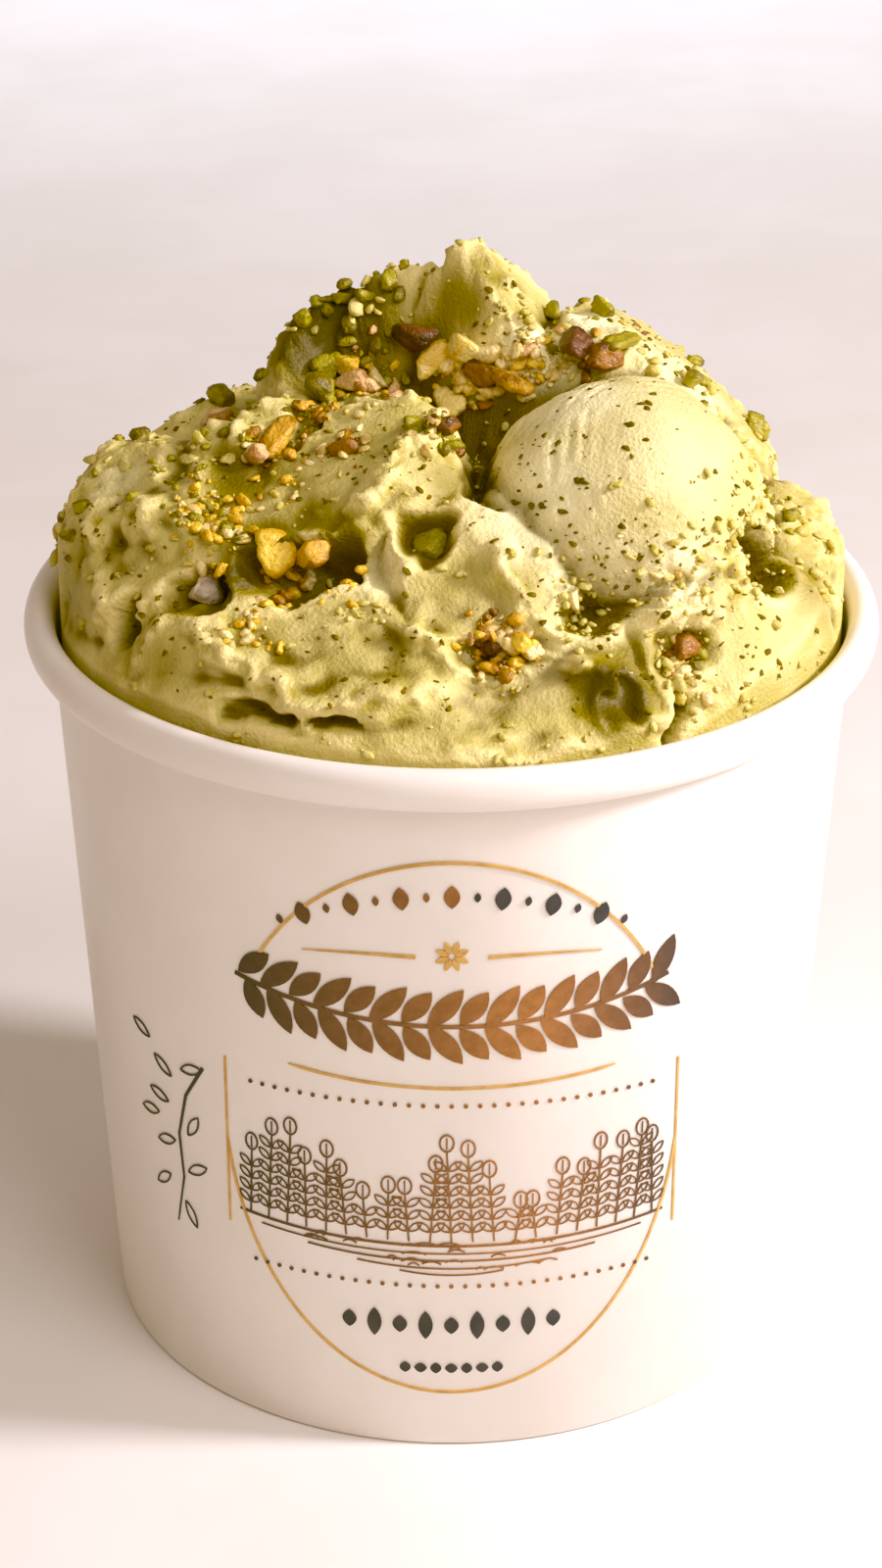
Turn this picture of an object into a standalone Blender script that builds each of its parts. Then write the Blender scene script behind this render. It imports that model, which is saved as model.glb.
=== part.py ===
"""A paper tub of pistachio ice cream, heaped above its rolled rim and topped with chopped nuts.

Run it with blender --background --python part.py, or from Blender's text editor. Lengths are in metres, +Z is up.
The origin is the centre of the tub's foot, on the surface that it stands on, and -Y is the side with the best view.
"""

import math
import random

import bmesh
import bpy
import numpy as np
from mathutils import Euler, Matrix, Vector, noise
from mathutils.bvhtree import BVHTree

MM = 0.001

# ---------------------------------------------------------------- the tub's driving sizes
TUB_HEIGHT = 92 * MM
RIM_DIAMETER = 100 * MM  # over the rolled rim
WALL_TOP_RADIUS = 46.9 * MM  # outer face of the wall, just under the roll
WALL_FOOT_RADIUS = 41.7 * MM  # outer face of the wall, on the table
BOARD = 0.5 * MM  # thickness of the paperboard
ROLL_HEIGHT = 4.9 * MM
ROLL_WIDTH = 3.6 * MM
ROLL_TURN = math.radians(300)  # how far the board curls round
ROLL_POINTS = 11
GAP = 0.3 * MM  # between pieces that touch
HEM_HEIGHT = 5 * MM  # the wall's lower edge, folded up inside
BASE_HEIGHT = 6.2 * MM  # underside of the base disc
FLANGE_HEIGHT = 1.2 * MM  # the base's flange reaches down to here
TURN_STEPS = 48

# ---------------------------------------------------------------- the ice cream's driving sizes
HEART = Vector((0, 0, 84 * MM))  # the point that the heap's surface is measured from
HEAP_SEGMENTS = 240
HEAP_RINGS = 200
HEAP_FACES = 4750  # triangles kept of the bare heap
FACE_ROUNDING = 60  # radius in mm of the gently domed face that a paddle leaves
SIDE_GAP = 0.5 * MM  # between the ice cream and the wall, whose facets differ
SEED = 15  # of the noise
WARP = 0.05  # how far the scoops' outlines wander, as a share of the distance from the heart
RAG_REACH = 1.5 * MM  # how far from an edge or a crease the surface is torn
STRAY = 1.3  # mm by which the outlines of the hollows and the strokes wander

# Scoops in mm and degrees: name, centre, radii, heading, how torn the bare scoop is from 0 to 1, and the paddle's
# faces, each as the direction that it looks in and its distance from the scoop's centre.
SCOOPS = (
    ("core", (0, 0, 84), (48.5, 48.5, 24), 0, 0.4, ()),
    ("ball", (19.5, -11, 104.5), (16.6, 16.6, 16.6), 0, 0.06, ()),
    ("right_back", (19, 8, 100), (18.5, 17, 24), 0, 0.5, (((0.2, 0.1, 0.95), 22), ((0.7, 0.1, 0.7), 18))),
    ("right_edge", (35, -1, 94), (11.5, 15, 11.8), 0, 0.9, ()),
    ("right_front", (28, -20, 89), (18, 19, 16), 0, 0.3, (((0.5, -0.6, 0.6), 13.2),)),
    ("peak", (5.5, 8, 111), (11.5, 10, 21.5), 0, 0.9, (((-0.5, -0.85, 0.15), 6.5), ((0.8, -0.3, 0.52), 10))),
    ("peak_shoulder", (-3, 10, 109), (13, 8, 20), 0, 0.6, (((0.25, -0.95, 0.2), 4.5),)),
    ("left_back", (-10.5, 10, 105.5), (13, 10, 19.6), 0, 0.6, (((0.25, -0.92, 0.3), 6.5),)),
    ("left_lobe", (-19, -5, 95), (25, 24, 23.5), 0, 0.35, (((-0.3, -0.36, 0.9), 18.4), ((-0.4, 0.3, 0.86), 19.3))),
    ("left_shoulder", (-33.5, -3, 98), (12, 13, 13.6), 0, 0.5, (((-0.5, -0.3, 0.8), 12),)),
    ("lobe_top", (-8, -9, 102), (14, 14, 17), 0, 0.45, (((-0.3, -0.36, 0.9), 13.6),)),
    ("left_flank", (-28, -8, 92), (18.5, 20, 18), 0, 0.3, (((-0.8, -0.5, 0.33), 14.5), ((-0.5, -0.8, 0.2), 13.5))),
    ("front_left", (-15, -24, 90), (22, 19, 15), -12, 0.4, (((-0.15, -0.6, 0.8), 13.8), ((-0.4, -0.85, 0.3), 15))),
    ("front_foot", (-8, -31, 86), (28, 12.5, 9), 0, 0.3, ()),
    ("saddle", (3, -16, 96), (15, 20, 16), 0, 0.25, (((0, -0.65, 0.76), 15.5),)),
    ("front_right", (10, -28, 88), (18, 15, 13), 0, 0.4, (((0.1, -0.5, 0.86), 11),)),
    ("back_left", (-23, 22, 93.5), (20, 18, 14.5), 0, 0.4, (((-0.45, 0.6, 0.66), 12.5),)),
    ("back_right", (21, 25, 95), (20, 17, 16), 0, 0.4, (((0.4, 0.7, 0.6), 13),)),
    ("back_foot", (0, 33, 90), (22, 12, 11), 0, 0.4, ()),
)

# Hollows in mm that the paddle dug: name, centre, radii, and how deep.
HOLLOWS = (
    ("left_back_bowl", (-9, 0.5, 124), (13, 8.5, 9), 9),
    ("peak_bowl", (2, -2, 126), (8, 7, 9), 6),
    ("green_pocket", (-2.6, -24, 109), (4.4, 4.2, 5), 5.5),
    ("gold_pocket", (-17.5, -25.5, 104.5), (9, 4.4, 3.8), 8),
    ("grey_pocket", (-28.5, -25, 101.5), (4.2, 4, 3.6), 5),
    ("ball_foot", (16, -30, 102.5), (4.2, 3, 2), 3),
    ("right_hole", (37.5, -15, 103), (3, 5, 5.5), 7),
    ("brown_pocket", (25, -33, 98), (4, 3, 2.4), 3.5),
    ("right_notch", (24.5, -36, 92.5), (1.8, 4, 4.5), 4),
    ("front_scoop", (8.5, -41, 96), (10, 8, 6), 2.6),
    ("crumb_pit", (4.6, -36, 101), (6, 4, 2.6), 3),
)

# Strokes in mm: name, the points that one runs through, how wide it is, and how high it stands; a groove is below 0.
STROKES = (
    ("lobe_ridge", ((-36, -14, 107), (-29, -20, 107.5), (-22, -23, 108.5), (-13, -24, 108)), 3.4, 2.4),
    ("lobe_edge", ((-1, -12, 118), (-8, -17, 114.5), (-10, -23, 109)), 3, 1.8),
    ("front_ridge", ((-27, -30, 100), (-23, -34, 99.5), (-14, -41, 95.5), (-4, -41, 97.5)), 3, 2.4),
    ("front_crack", ((-23, -39, 91.5), (-13, -42, 92), (-3, -42, 94.5)), 2, -4),
    ("saddle_edge", ((-8, -23, 109), (-7, -31, 105), (-2, -34, 101.5), (1, -36, 101.5)), 2.6, 2),
    ("ball_lip", ((4, -18, 109), (5, -28, 106.5), (10, -32, 103), (19, -32, 101), (28, -29, 101)), 2.6, 2),
    ("throat", ((4, 0, 113), (3, -12, 112), (3.4, -22, 111)), 2.8, -6),
    ("ball_groove", ((33, 3, 114), (35, -11, 110), (33, -20, 106)), 2.4, -3.5),
    ("left_notch", ((-36, -22, 99), (-37, -22, 89)), 1.8, -4),
    ("step_wall", ((13, -36, 99), (17, -38, 97), (19.5, -40, 92)), 2.6, 2.6),
    ("ragged_lump", ((19, -39, 93), (22, -38, 95)), 2.6, 2.2),
    ("peak_ridge", ((4, 12, 130), (8, 7, 125), (11, 3, 121)), 3, 1.6),
    ("nut_crack", ((-22, -13, 113), (-19, -8, 115), (-13, 2, 114)), 2.2, -2.5),
    ("crack_ridge", ((-25, -8, 112.5), (-21, -3, 114), (-17, 3, 115)), 2.6, 2),
    ("lobe_fold", ((-27, -3, 113), (-29, -13, 109)), 3, 1.4),
    ("shoulder_ridge", ((-38, 2, 108), (-40, -12, 105), (-38, -20, 100)), 3, 1.2),
    ("back_groove", ((-30, 20, 104), (-6, 32, 103), (14, 36, 98)), 2.4, -3),
    ("back_ridge", ((26, 10, 112), (30, 24, 104), (20, 36, 98)), 3, 2),
)

# Chopped nuts in mm and degrees: name, the point of the heap that one lies on, its length, width and height, heading
# and tilt.
NUTS = (
    ("peak_foot", (-3.6, 7.6, 119.8), (6.4, 5.2, 5), 20, 10),
    ("band_rose", (-11.5, 4.8, 114.8), (5.2, 4.8, 4.4), 0, 0),
    ("band_stick", (-8.6, 6, 115.6), (6.4, 2.8, 2.8), -35, 15),
    ("band_green", (-15.9, 2.8, 115.2), (5.4, 4.4, 4), 30, 0),
    ("band_leaf", (-14.3, 7.4, 116.4), (4.6, 3.6, 3.6), -20, 0),
    ("band_bead", (-12, 6.8, 116.9), (3.6, 3, 3), -30, 0),
    ("shell_left", (-2, 6, 117.4), (7.2, 3.4, 3.8), 65, 10),
    ("shell_top", (1.2, 4.8, 119.6), (6.4, 3.2, 3.6), -5, -15),
    ("shell_foot", (-1.2, 4.8, 114.2), (5.4, 3.8, 3.6), -30, 0),
    ("flake_dark", (3.6, 2.6, 117.6), (5.2, 3.8, 3), -25, 10),
    ("flake_amber", (7.8, 0.6, 116.8), (6.8, 3.2, 2.8), -22, 0),
    ("flake_pale", (6.5, 1.6, 118.9), (4, 3, 2.6), 30, 0),
    ("back_brown", (14.3, 0.6, 120.9), (6.8, 5, 4.6), -15, 0),
    ("back_rust", (17.3, -1.2, 120.1), (5.4, 4.4, 3.8), 25, 0),
    ("back_green", (18.9, 0.6, 121.7), (6, 3.6, 3.6), -25, 0),
    ("nub_a", (-27.7, 20.4, 107.7), (3.8, 3.2, 3), 0, 0),
    ("nub_b", (-17.1, 10.1, 121.3), (2.8, 2.4, 2.4), 40, 0),
    ("nub_c", (-12.8, 12.2, 123.1), (3, 2.6, 2.4), 10, 0),
    ("nub_d", (-7.4, 10.8, 125.8), (3, 2.6, 2.6), 70, 0),
    ("nub_e", (11.6, 11, 121.8), (3.4, 3, 2.8), 20, 0),
    ("nub_f", (17.1, 9.4, 122.7), (3.8, 3, 3), 60, 0),
    ("nub_g", (27.2, 0.2, 117.1), (3.4, 2.8, 2.8), -40, 0),
    ("crack_long", (-19.4, -7.9, 113.4), (7, 3.6, 3.4), 52, 5),
    ("crack_bead", (-21.9, -10.5, 112.3), (3.8, 3, 2.8), 20, 0),
    ("crack_dark", (-12.1, -13.4, 114.4), (3.8, 2.8, 2.4), 40, 0),
    ("patch_dark", (-0.9, -12.9, 117), (3.8, 3, 2.8), -20, 0),
    ("patch_green", (-4.4, -13.6, 117), (3.4, 2.8, 2.6), 50, 0),
    ("pocket_gold", (-18.6, -22, 103.8), (5.2, 4.8, 5.6), 35, 10),
    ("pocket_amber", (-15.9, -21.8, 104.2), (4.8, 4.6, 5.4), -20, -10),
    ("pocket_cream", (-15.9, -22, 101.2), (3.2, 2.8, 2.6), 0, 0),
    ("pocket_grey", (-27.7, -21.7, 100), (5, 4.6, 4.4), 0, 0),
    ("pocket_green", (-2.6, -20.5, 105.4), (5, 4.4, 4.2), 15, 0),
    ("ball_pale", (14.4, -29.4, 103.4), (3, 2.6, 2.2), 0, 0),
    ("pit_dark", (4.7, -32.4, 98.9), (3.8, 3, 2.8), 30, 0),
    ("pit_rose", (7.4, -33.4, 99.8), (3.4, 2.8, 2.6), -30, 0),
    ("pit_cream", (8.9, -34, 99), (3, 2.6, 2.4), 0, 0),
    ("low_dark", (24.6, -30.4, 97.1), (4.6, 3.8, 3.4), 0, 0),
    ("back_gold", (-12, 26, 108), (6.4, 5, 4.6), 70, 0),
    ("back_leaf", (9, 24, 113), (5.6, 4, 4), -20, 0),
    ("back_purple", (26, 20, 106), (5, 4.2, 3.8), 10, 0),
    ("back_rose", (-28, 16, 102), (4.6, 4, 3.6), 45, 0),
)
NUT_SINK = 0.22  # share of a nut's height that is pressed into the ice cream

# Crumbs in mm: the middle of a cluster, its spread, how many, and their mean size.
CRUMBS = (
    ((-28, -18, 108), 5, 5, 2.1),
    ((-26, -10, 112), 6, 4, 2.1),
    ((-16, -15, 112), 4, 3, 2),
    ((5, -36, 99), 3, 3, 1.8),
    ((8, 6, 122), 5, 3, 2.2),
    ((24, 10, 119), 7, 4, 2.2),
    ((36, 2, 107), 6, 3, 2.2),
    ((-42, 0, 104), 5, 3, 2.2),
    ((0, 30, 104), 16, 5, 2.4),
)


# ---------------------------------------------------------------- helpers
def clear_scene():
    for old in list(bpy.data.objects):
        bpy.data.objects.remove(old)


def new_collection(name):
    collection = bpy.data.collections.new(name)
    bpy.context.scene.collection.children.link(collection)
    return collection


def material(name, colour, roughness, metallic=0.0):
    made = bpy.data.materials.new(name)
    made.use_nodes = True
    shader = made.node_tree.nodes["Principled BSDF"]
    shader.inputs["Base Color"].default_value = (*colour, 1)
    shader.inputs["Roughness"].default_value = roughness
    shader.inputs["Metallic"].default_value = metallic
    return made


def add_object(name, mesh, collection, finish):
    made = bpy.data.objects.new(name, mesh)
    collection.objects.link(made)
    mesh.materials.clear()
    mesh.materials.append(finish)
    return made


def mesh_of(bm, name):
    mesh = bpy.data.meshes.new(name)
    bm.to_mesh(mesh)
    bm.free()
    return mesh


def apply_modifiers(thing):
    """Gives the object the mesh that its modifiers make, and removes them."""
    graph = bpy.context.evaluated_depsgraph_get()
    made = bpy.data.meshes.new_from_object(thing.evaluated_get(graph))
    thing.modifiers.clear()
    thing.data = made


# ---------------------------------------------------------------- the paper tub
def wall_radius(height):
    """Radius of the middle of the wall's board at a height above the table."""
    share = height / (TUB_HEIGHT - ROLL_HEIGHT)
    return WALL_FOOT_RADIUS + (WALL_TOP_RADIUS - WALL_FOOT_RADIUS) * share - BOARD / 2


def inner_radius(height):
    """Radius of the wall's inner face."""
    return wall_radius(height) - BOARD / 2


def arc(centre, radii, start, turn, points):
    """Points along an ellipse in the (radius, height) plane."""
    for step in range(points):
        angle = start + turn * step / (points - 1)
        yield centre[0] + radii[0] * math.cos(angle), centre[1] + radii[1] * math.sin(angle)


def wall_path():
    """Middle line of the wall's board: down round the rolled rim, down the wall and round the foot to the hem."""
    curl = ((ROLL_WIDTH - BOARD) / 2, (ROLL_HEIGHT - BOARD) / 2)
    curl_centre = (RIM_DIAMETER / 2 - ROLL_WIDTH / 2, TUB_HEIGHT - ROLL_HEIGHT / 2)
    outer = wall_radius(0)
    hem = outer - 2 * BOARD - 2 * GAP  # leaves room for the base's flange between the wall and its hem
    path = list(arc(curl_centre, curl, math.pi - ROLL_TURN, ROLL_TURN, ROLL_POINTS))
    path += [(outer, BOARD), (outer - BOARD / 2, BOARD / 2)]
    path += [(hem + BOARD / 2, BOARD / 2), (hem, BOARD), (hem, HEM_HEIGHT)]
    return path


def turned(name, path, collection, finish):
    """A board of even thickness turned about Z from the middle line of its section."""
    bm = bmesh.new()
    corners = [bm.verts.new((radius, 0, height)) for radius, height in path]
    for first, second in zip(corners, corners[1:]):
        bm.edges.new((first, second))
    made = add_object(name, mesh_of(bm, name), collection, finish)
    screw = made.modifiers.new("turn", "SCREW")
    screw.axis = "Z"
    screw.steps = screw.render_steps = TURN_STEPS
    screw.use_merge_vertices = True
    screw.merge_threshold = 0.01 * MM
    board = made.modifiers.new("board", "SOLIDIFY")
    board.thickness = BOARD
    board.offset = 0
    board.use_even_offset = True
    board.use_quality_normals = True
    return made


def build_wall(collection, finish):
    return turned("tub_wall", wall_path(), collection, finish)


def build_base(collection, finish):
    """The disc that closes the tub, with a flange that the hem folds round."""
    flange_radius = wall_radius(0) - BOARD - GAP
    path = [(0, BASE_HEIGHT + BOARD / 2), (flange_radius, BASE_HEIGHT + BOARD / 2), (flange_radius, FLANGE_HEIGHT)]
    return turned("tub_base", path, collection, finish)


# ---------------------------------------------------------------- the ice cream
def ray_exit(directions, centre, radii, heading=0.0):
    """Distance from the heart at which each direction leaves an ellipsoid, or 0 where it misses."""
    turn = np.array(Matrix.Rotation(math.radians(heading), 3, "Z"))
    scale = 1 / (np.array(radii) * MM)
    start = (np.array(HEART) - np.array(centre) * MM) @ turn * scale
    along = directions @ turn * scale
    a = (along**2).sum(1)
    b = along @ start
    root = b * b - a * (start @ start - 1)
    return np.where(root > 0, (-b + np.sqrt(np.maximum(root, 0))) / a, 0)


def scoop_surface(directions, centre, radii, heading, rag, faces):
    """(distance from the heart to a scoop, how torn it is in each direction)."""
    reach = ray_exit(directions, centre, radii, heading)
    torn = np.full(len(directions), float(rag))
    for looks, offset in faces:
        outward = np.array(looks) / np.linalg.norm(looks)
        middle = np.array(centre) + outward * (offset - FACE_ROUNDING)
        flat = ray_exit(directions, middle, (FACE_ROUNDING,) * 3)
        away = np.abs(reach - flat) / RAG_REACH
        torn = np.where(flat < reach, 0, torn) + np.exp(-away) * rag
        reach = np.minimum(reach, flat)
    return reach, np.minimum(torn, 1)


def heap_surface(directions):
    """(distance from the heart to the bare heap in each direction, how torn it is there from 0 to 1)."""
    best = np.zeros(len(directions))
    second = np.zeros(len(directions))
    torn = np.zeros(len(directions))
    for _name, *scoop in SCOOPS:
        reach, rough = scoop_surface(directions, *scoop)
        higher = reach > best
        second = np.where(higher, best, np.maximum(second, reach))
        torn = np.where(higher, rough, torn)
        best = np.where(higher, reach, best)
    return best, np.maximum(torn, 0.7 * np.exp(-(best - second) / RAG_REACH))


def astray(points):
    """The points in mm, moved about so that the marks on the heap have ragged outlines."""
    return points / MM + STRAY * np.array([noise.noise_vector(Vector(p) / (3.2 * MM)) for p in points])


def dug(points):
    """How deep the hollows are at points of the bare heap."""
    depth = np.zeros(len(points))
    strayed = astray(points)
    for _name, centre, radii, deep in HOLLOWS:
        away = ((strayed - np.array(centre)) / np.array(radii)) ** 2
        depth = np.maximum(depth, deep * MM * np.clip(1 - away.sum(1), 0, 1) ** 0.8)
    return depth


def raised(points):
    """How far the strokes lift the bare heap, or lower it, at points of it."""
    height = np.zeros(len(points))
    strayed = astray(points)
    for _name, path, width, stands in STROKES:
        path = np.array(path, dtype=float)
        nearest = np.full(len(points), np.inf)
        for start, end in zip(path, path[1:]):
            share = np.clip((strayed - start) @ (end - start) / ((end - start) @ (end - start)), 0, 1)
            nearest = np.minimum(nearest, np.linalg.norm(strayed - start - share[:, None] * (end - start), axis=1))
        bump = stands * MM * np.clip(1 - nearest / width / 1.2, 0, 1) ** 1.2
        height = np.where(np.abs(bump) > np.abs(height), bump, height)
    return height


def wander(directions):
    """The directions, nudged about so that no scoop keeps the outline of an ellipsoid."""
    nudged = [Vector(d) + WARP * noise.noise_vector(Vector(d) * 4) + WARP * 0.2 * noise.noise_vector(Vector(d) * 13)
              for d in directions]
    nudged = np.array(nudged)
    return nudged / np.linalg.norm(nudged, axis=1)[:, None]


def curds(point, torn):
    """How far the ice cream stands out or in at a point of the surface."""
    swell = noise.fractal(point / (13 * MM), 1.0, 2.0, 2)
    lumps = noise.noise(point / (2.6 * MM))
    return (0.35 * swell + torn * 0.9 * lumps) * MM


def heap_points(directions):
    """The heap's surface in each direction, kept inside the rim."""
    nudged = wander(directions)
    distance, torn = heap_surface(nudged)
    points = np.array(HEART) + nudged * distance[:, None]
    hollow = dug(points)
    distance = distance - hollow
    torn = np.maximum(torn, 0.8 * np.exp(-np.abs(hollow / MM - 1.5)) * (hollow > 0))
    points = np.array(HEART) + nudged * distance[:, None]
    lift = raised(points)
    distance = distance + lift
    torn = np.maximum(torn, np.abs(lift) / MM / 2)
    points = np.array(HEART) + directions * distance[:, None]
    distance = distance + np.array([curds(Vector(p), t) for p, t in zip(points, torn)])
    flat = np.linalg.norm(directions[:, :2], axis=1)
    side = inner_radius(HEART.z) - SIDE_GAP
    distance = np.minimum(distance, side / np.maximum(flat, 1e-6))
    return np.array(HEART) + directions * distance[:, None]


def plug_point(direction, floor):
    """A point of the ice cream that fills the tub under the heart: down its side, then across its bottom."""
    down = -math.asin(max(-1, min(1, direction.z))) / (math.pi / 2)  # 0 level with the heart, 1 straight down
    around = Vector((direction.x, direction.y, 0))
    if around.length > 1e-6:
        around.normalize()
    height = max(floor, HEART.z + (floor - HEART.z) * down * 2)
    radius = (inner_radius(height) - SIDE_GAP) * min(1, 2 - 2 * down)
    return around * radius + Vector((0, 0, height))


def build_heap():
    """The bare ice cream: a plug that fills the tub, and the scooped heap on it."""
    bm = bmesh.new()
    bmesh.ops.create_uvsphere(bm, u_segments=HEAP_SEGMENTS, v_segments=HEAP_RINGS, radius=1)
    directions = np.array([v.co for v in bm.verts])
    for vert, top in zip(bm.verts, heap_points(directions)):
        vert.co = top if vert.co.z > 1e-6 else plug_point(vert.co, BASE_HEIGHT + BOARD + GAP)
    return mesh_of(bm, "gelato")


def nut_mesh(size, draw, detail):
    """A chopped nut: a lumpy ball with two flat cuts."""
    bm = bmesh.new()
    bmesh.ops.create_icosphere(bm, subdivisions=detail, radius=0.5)
    for vert in bm.verts:
        vert.co *= draw.uniform(0.9, 1.12)
        vert.co.z = min(vert.co.z, draw.uniform(0.3, 0.36))
        vert.co.x = max(vert.co.x, draw.uniform(-0.4, -0.34))
        vert.co = Vector(c * s * MM for c, s in zip(vert.co, size))
    return mesh_of(bm, "nut")


def lay(nut, heap, point, heading, tilt, lift):
    """Rests a nut on the heap where it is nearest to a point, with its middle lifted by a length."""
    found, normal = heap.find_nearest(point)[:2]
    outward = (normal + Vector((0, 0, 1))).normalized()
    stand = outward.to_track_quat("Z", "Y").to_matrix().to_4x4()
    turn = Euler((math.radians(tilt), 0, math.radians(heading))).to_matrix().to_4x4()
    nut.data.transform(Matrix.Translation(found + outward * lift) @ stand @ turn)


def scatter_nuts(gelato, collection, finish):
    """Chopped nuts where the table has them, and clusters of crumbs, clear of the rim."""
    draw = random.Random(11)
    heap = BVHTree.FromObject(gelato, bpy.context.evaluated_depsgraph_get())
    for name, point, size, heading, tilt in NUTS:
        nut = add_object(name, nut_mesh(size, draw, 2 if size[0] > 4 else 1), collection, finish)
        lay(nut, heap, Vector(point) * MM, heading, tilt, size[2] * (0.5 - NUT_SINK) * MM)
    for middle, spread, count, size in CRUMBS:
        for _each in range(count):
            point = heap.find_nearest(Vector([draw.gauss(c, spread / 2) for c in middle]) * MM)[0]
            if point.z < TUB_HEIGHT + 2 * size * MM:
                continue
            large = size * draw.uniform(0.8, 1.3)
            crumb = add_object("crumb", nut_mesh((large * 1.25, large, large * 0.9), draw, 1), collection, finish)
            lay(crumb, heap, point, draw.uniform(0, 360), 0, large * 0.2 * MM)


def keep_largest(thing):
    """Drops loose scraps and sealed hollows, which a union can leave."""
    bm = bmesh.new()
    bm.from_mesh(thing.data)
    left = set(bm.verts)
    bodies = []
    while left:
        body, edge = set(), [left.pop()]
        while edge:
            vert = edge.pop()
            body.add(vert)
            near = {e.other_vert(vert) for e in vert.link_edges} & left
            left -= near
            edge.extend(near)
        bodies.append(body)
    bodies.sort(key=len)
    bmesh.ops.delete(bm, geom=[v for body in bodies[:-1] for v in body], context="VERTS")
    bm.to_mesh(thing.data)
    bm.free()


def build_gelato(collection, finish):
    gelato = add_object("gelato", build_heap(), collection, finish)
    thin = gelato.modifiers.new("thin out", "DECIMATE")
    thin.ratio = HEAP_FACES / sum(len(face.vertices) - 2 for face in gelato.data.polygons)
    apply_modifiers(gelato)
    toppings = new_collection("toppings")
    scatter_nuts(gelato, toppings, finish)
    fuse = gelato.modifiers.new("fuse", "BOOLEAN")
    fuse.operation = "UNION"
    fuse.solver = "EXACT"
    fuse.operand_type = "COLLECTION"
    fuse.collection = toppings
    apply_modifiers(gelato)
    for topping in list(toppings.objects):
        bpy.data.objects.remove(topping)
    keep_largest(gelato)


def main():
    clear_scene()
    noise.seed_set(SEED)
    tub = new_collection("ice_cream_tub")
    board = material("white_board", (0.86, 0.82, 0.76), 0.45)
    pistachio = material("pistachio_gelato", (0.62, 0.54, 0.2), 0.5)
    build_wall(tub, board)
    build_base(tub, board)
    build_gelato(tub, pistachio)
    for thing in tub.objects:
        thing.data.shade_smooth()
        thing.data.set_sharp_from_angle(angle=math.radians(40))


main()
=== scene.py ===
# %% [markdown]
# # A tub of pistachio ice cream
#
# A paper take-away tub, filled by spatula with pistachio ice cream, heaped high above the rim and strewn with
# chopped nuts. The imported model gives the sizes: the paper wall, its base and one solid for all the ice
# cream. This lesson dresses it. It turns the paper wall finely and gives the base the same coated board,
# prints a badge on the wall, and sculpts the ice cream again from the same named scoops with many more faces.
# Lengths are in metres, +Z is up, -Y is the front.

# %% Load the imported tub
import math
import random

import bmesh
import bpy
import numpy as np
from mathutils import Euler, Matrix, Vector, noise
from mathutils.bvhtree import BVHTree


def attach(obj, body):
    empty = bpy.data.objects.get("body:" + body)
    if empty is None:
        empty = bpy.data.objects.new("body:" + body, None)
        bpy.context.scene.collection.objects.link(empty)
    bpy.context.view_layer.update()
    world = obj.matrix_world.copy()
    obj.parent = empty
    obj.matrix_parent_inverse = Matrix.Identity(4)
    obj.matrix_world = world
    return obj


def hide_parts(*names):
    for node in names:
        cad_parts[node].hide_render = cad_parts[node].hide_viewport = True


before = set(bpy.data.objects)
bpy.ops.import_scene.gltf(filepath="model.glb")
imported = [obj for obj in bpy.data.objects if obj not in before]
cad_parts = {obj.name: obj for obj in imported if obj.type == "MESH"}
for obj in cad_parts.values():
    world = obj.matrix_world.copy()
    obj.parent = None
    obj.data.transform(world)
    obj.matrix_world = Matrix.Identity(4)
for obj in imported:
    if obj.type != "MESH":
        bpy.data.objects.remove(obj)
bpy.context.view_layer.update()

MM = 0.001
print("packed nodes:", sorted(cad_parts))

# %% [markdown]
# ## The camera
#
# A portrait of food is taken from a little above with a long lens, so that the heap stands over the rim and
# the tub's sides still look nearly straight. The camera hangs on a sphere round the middle of the tub: two
# numbers, its height angle and its distance, place it.

# %% Place the camera
LOOK_AT = Vector((-1.2 * MM, 0, 66.5 * MM))
CAMERA_RISE = math.radians(26.3)
CAMERA_DISTANCE = 471 * MM
LENS_MM = 90
SENSOR_MM = 36


def aimed(thing, place, target):
    """Puts a camera or a light at a place and turns it to its target."""
    thing.location = place
    thing.rotation_euler = (Vector(target) - Vector(place)).to_track_quat("-Z", "Y").to_euler()
    bpy.context.scene.collection.objects.link(thing)


camera = bpy.data.objects.new("camera", bpy.data.cameras.new("camera"))
camera.data.lens = LENS_MM
camera.data.sensor_width = SENSOR_MM
camera.data.clip_start = 10 * MM
arm = Vector((0, -math.cos(CAMERA_RISE), math.sin(CAMERA_RISE)))
aimed(camera, LOOK_AT + arm * CAMERA_DISTANCE, LOOK_AT)
bpy.context.scene.camera = camera
print("camera stands", round(camera.location.z / MM), "mm above the table")

# %% [markdown]
# ## Helpers for materials
#
# Every finish here is a graph of small nodes. Short helpers keep the graphs readable: one adds a node, sets
# its inputs and links what is passed to it, one starts a material with its shader, and others build and place
# a node group, mix two colours, stretch a value and bend a normal. An effect that several finishes share,
# such as fine grain, is a group that each of them places with its own values.

# %% Build nodes with few words
def add_node(tree, kind, inputs=None, **settings):
    """Adds a node; an input is a plain value, or another node's output socket."""
    made = tree.nodes.new(kind)
    for name, value in settings.items():
        setattr(made, name, value)
    for name, value in (inputs or {}).items():
        if isinstance(value, bpy.types.NodeSocket):
            tree.links.new(value, made.inputs[name])
        else:
            made.inputs[name].default_value = value
    return made


def new_material(name, **shader_inputs):
    """A material with one Principled shader; returns (material, tree, shader)."""
    made = bpy.data.materials.new(name)
    made.use_nodes = True
    shader = made.node_tree.nodes["Principled BSDF"]
    for socket, value in shader_inputs.items():
        shader.inputs[socket.replace("_", " ")].default_value = value
    return made, made.node_tree, shader


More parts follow.
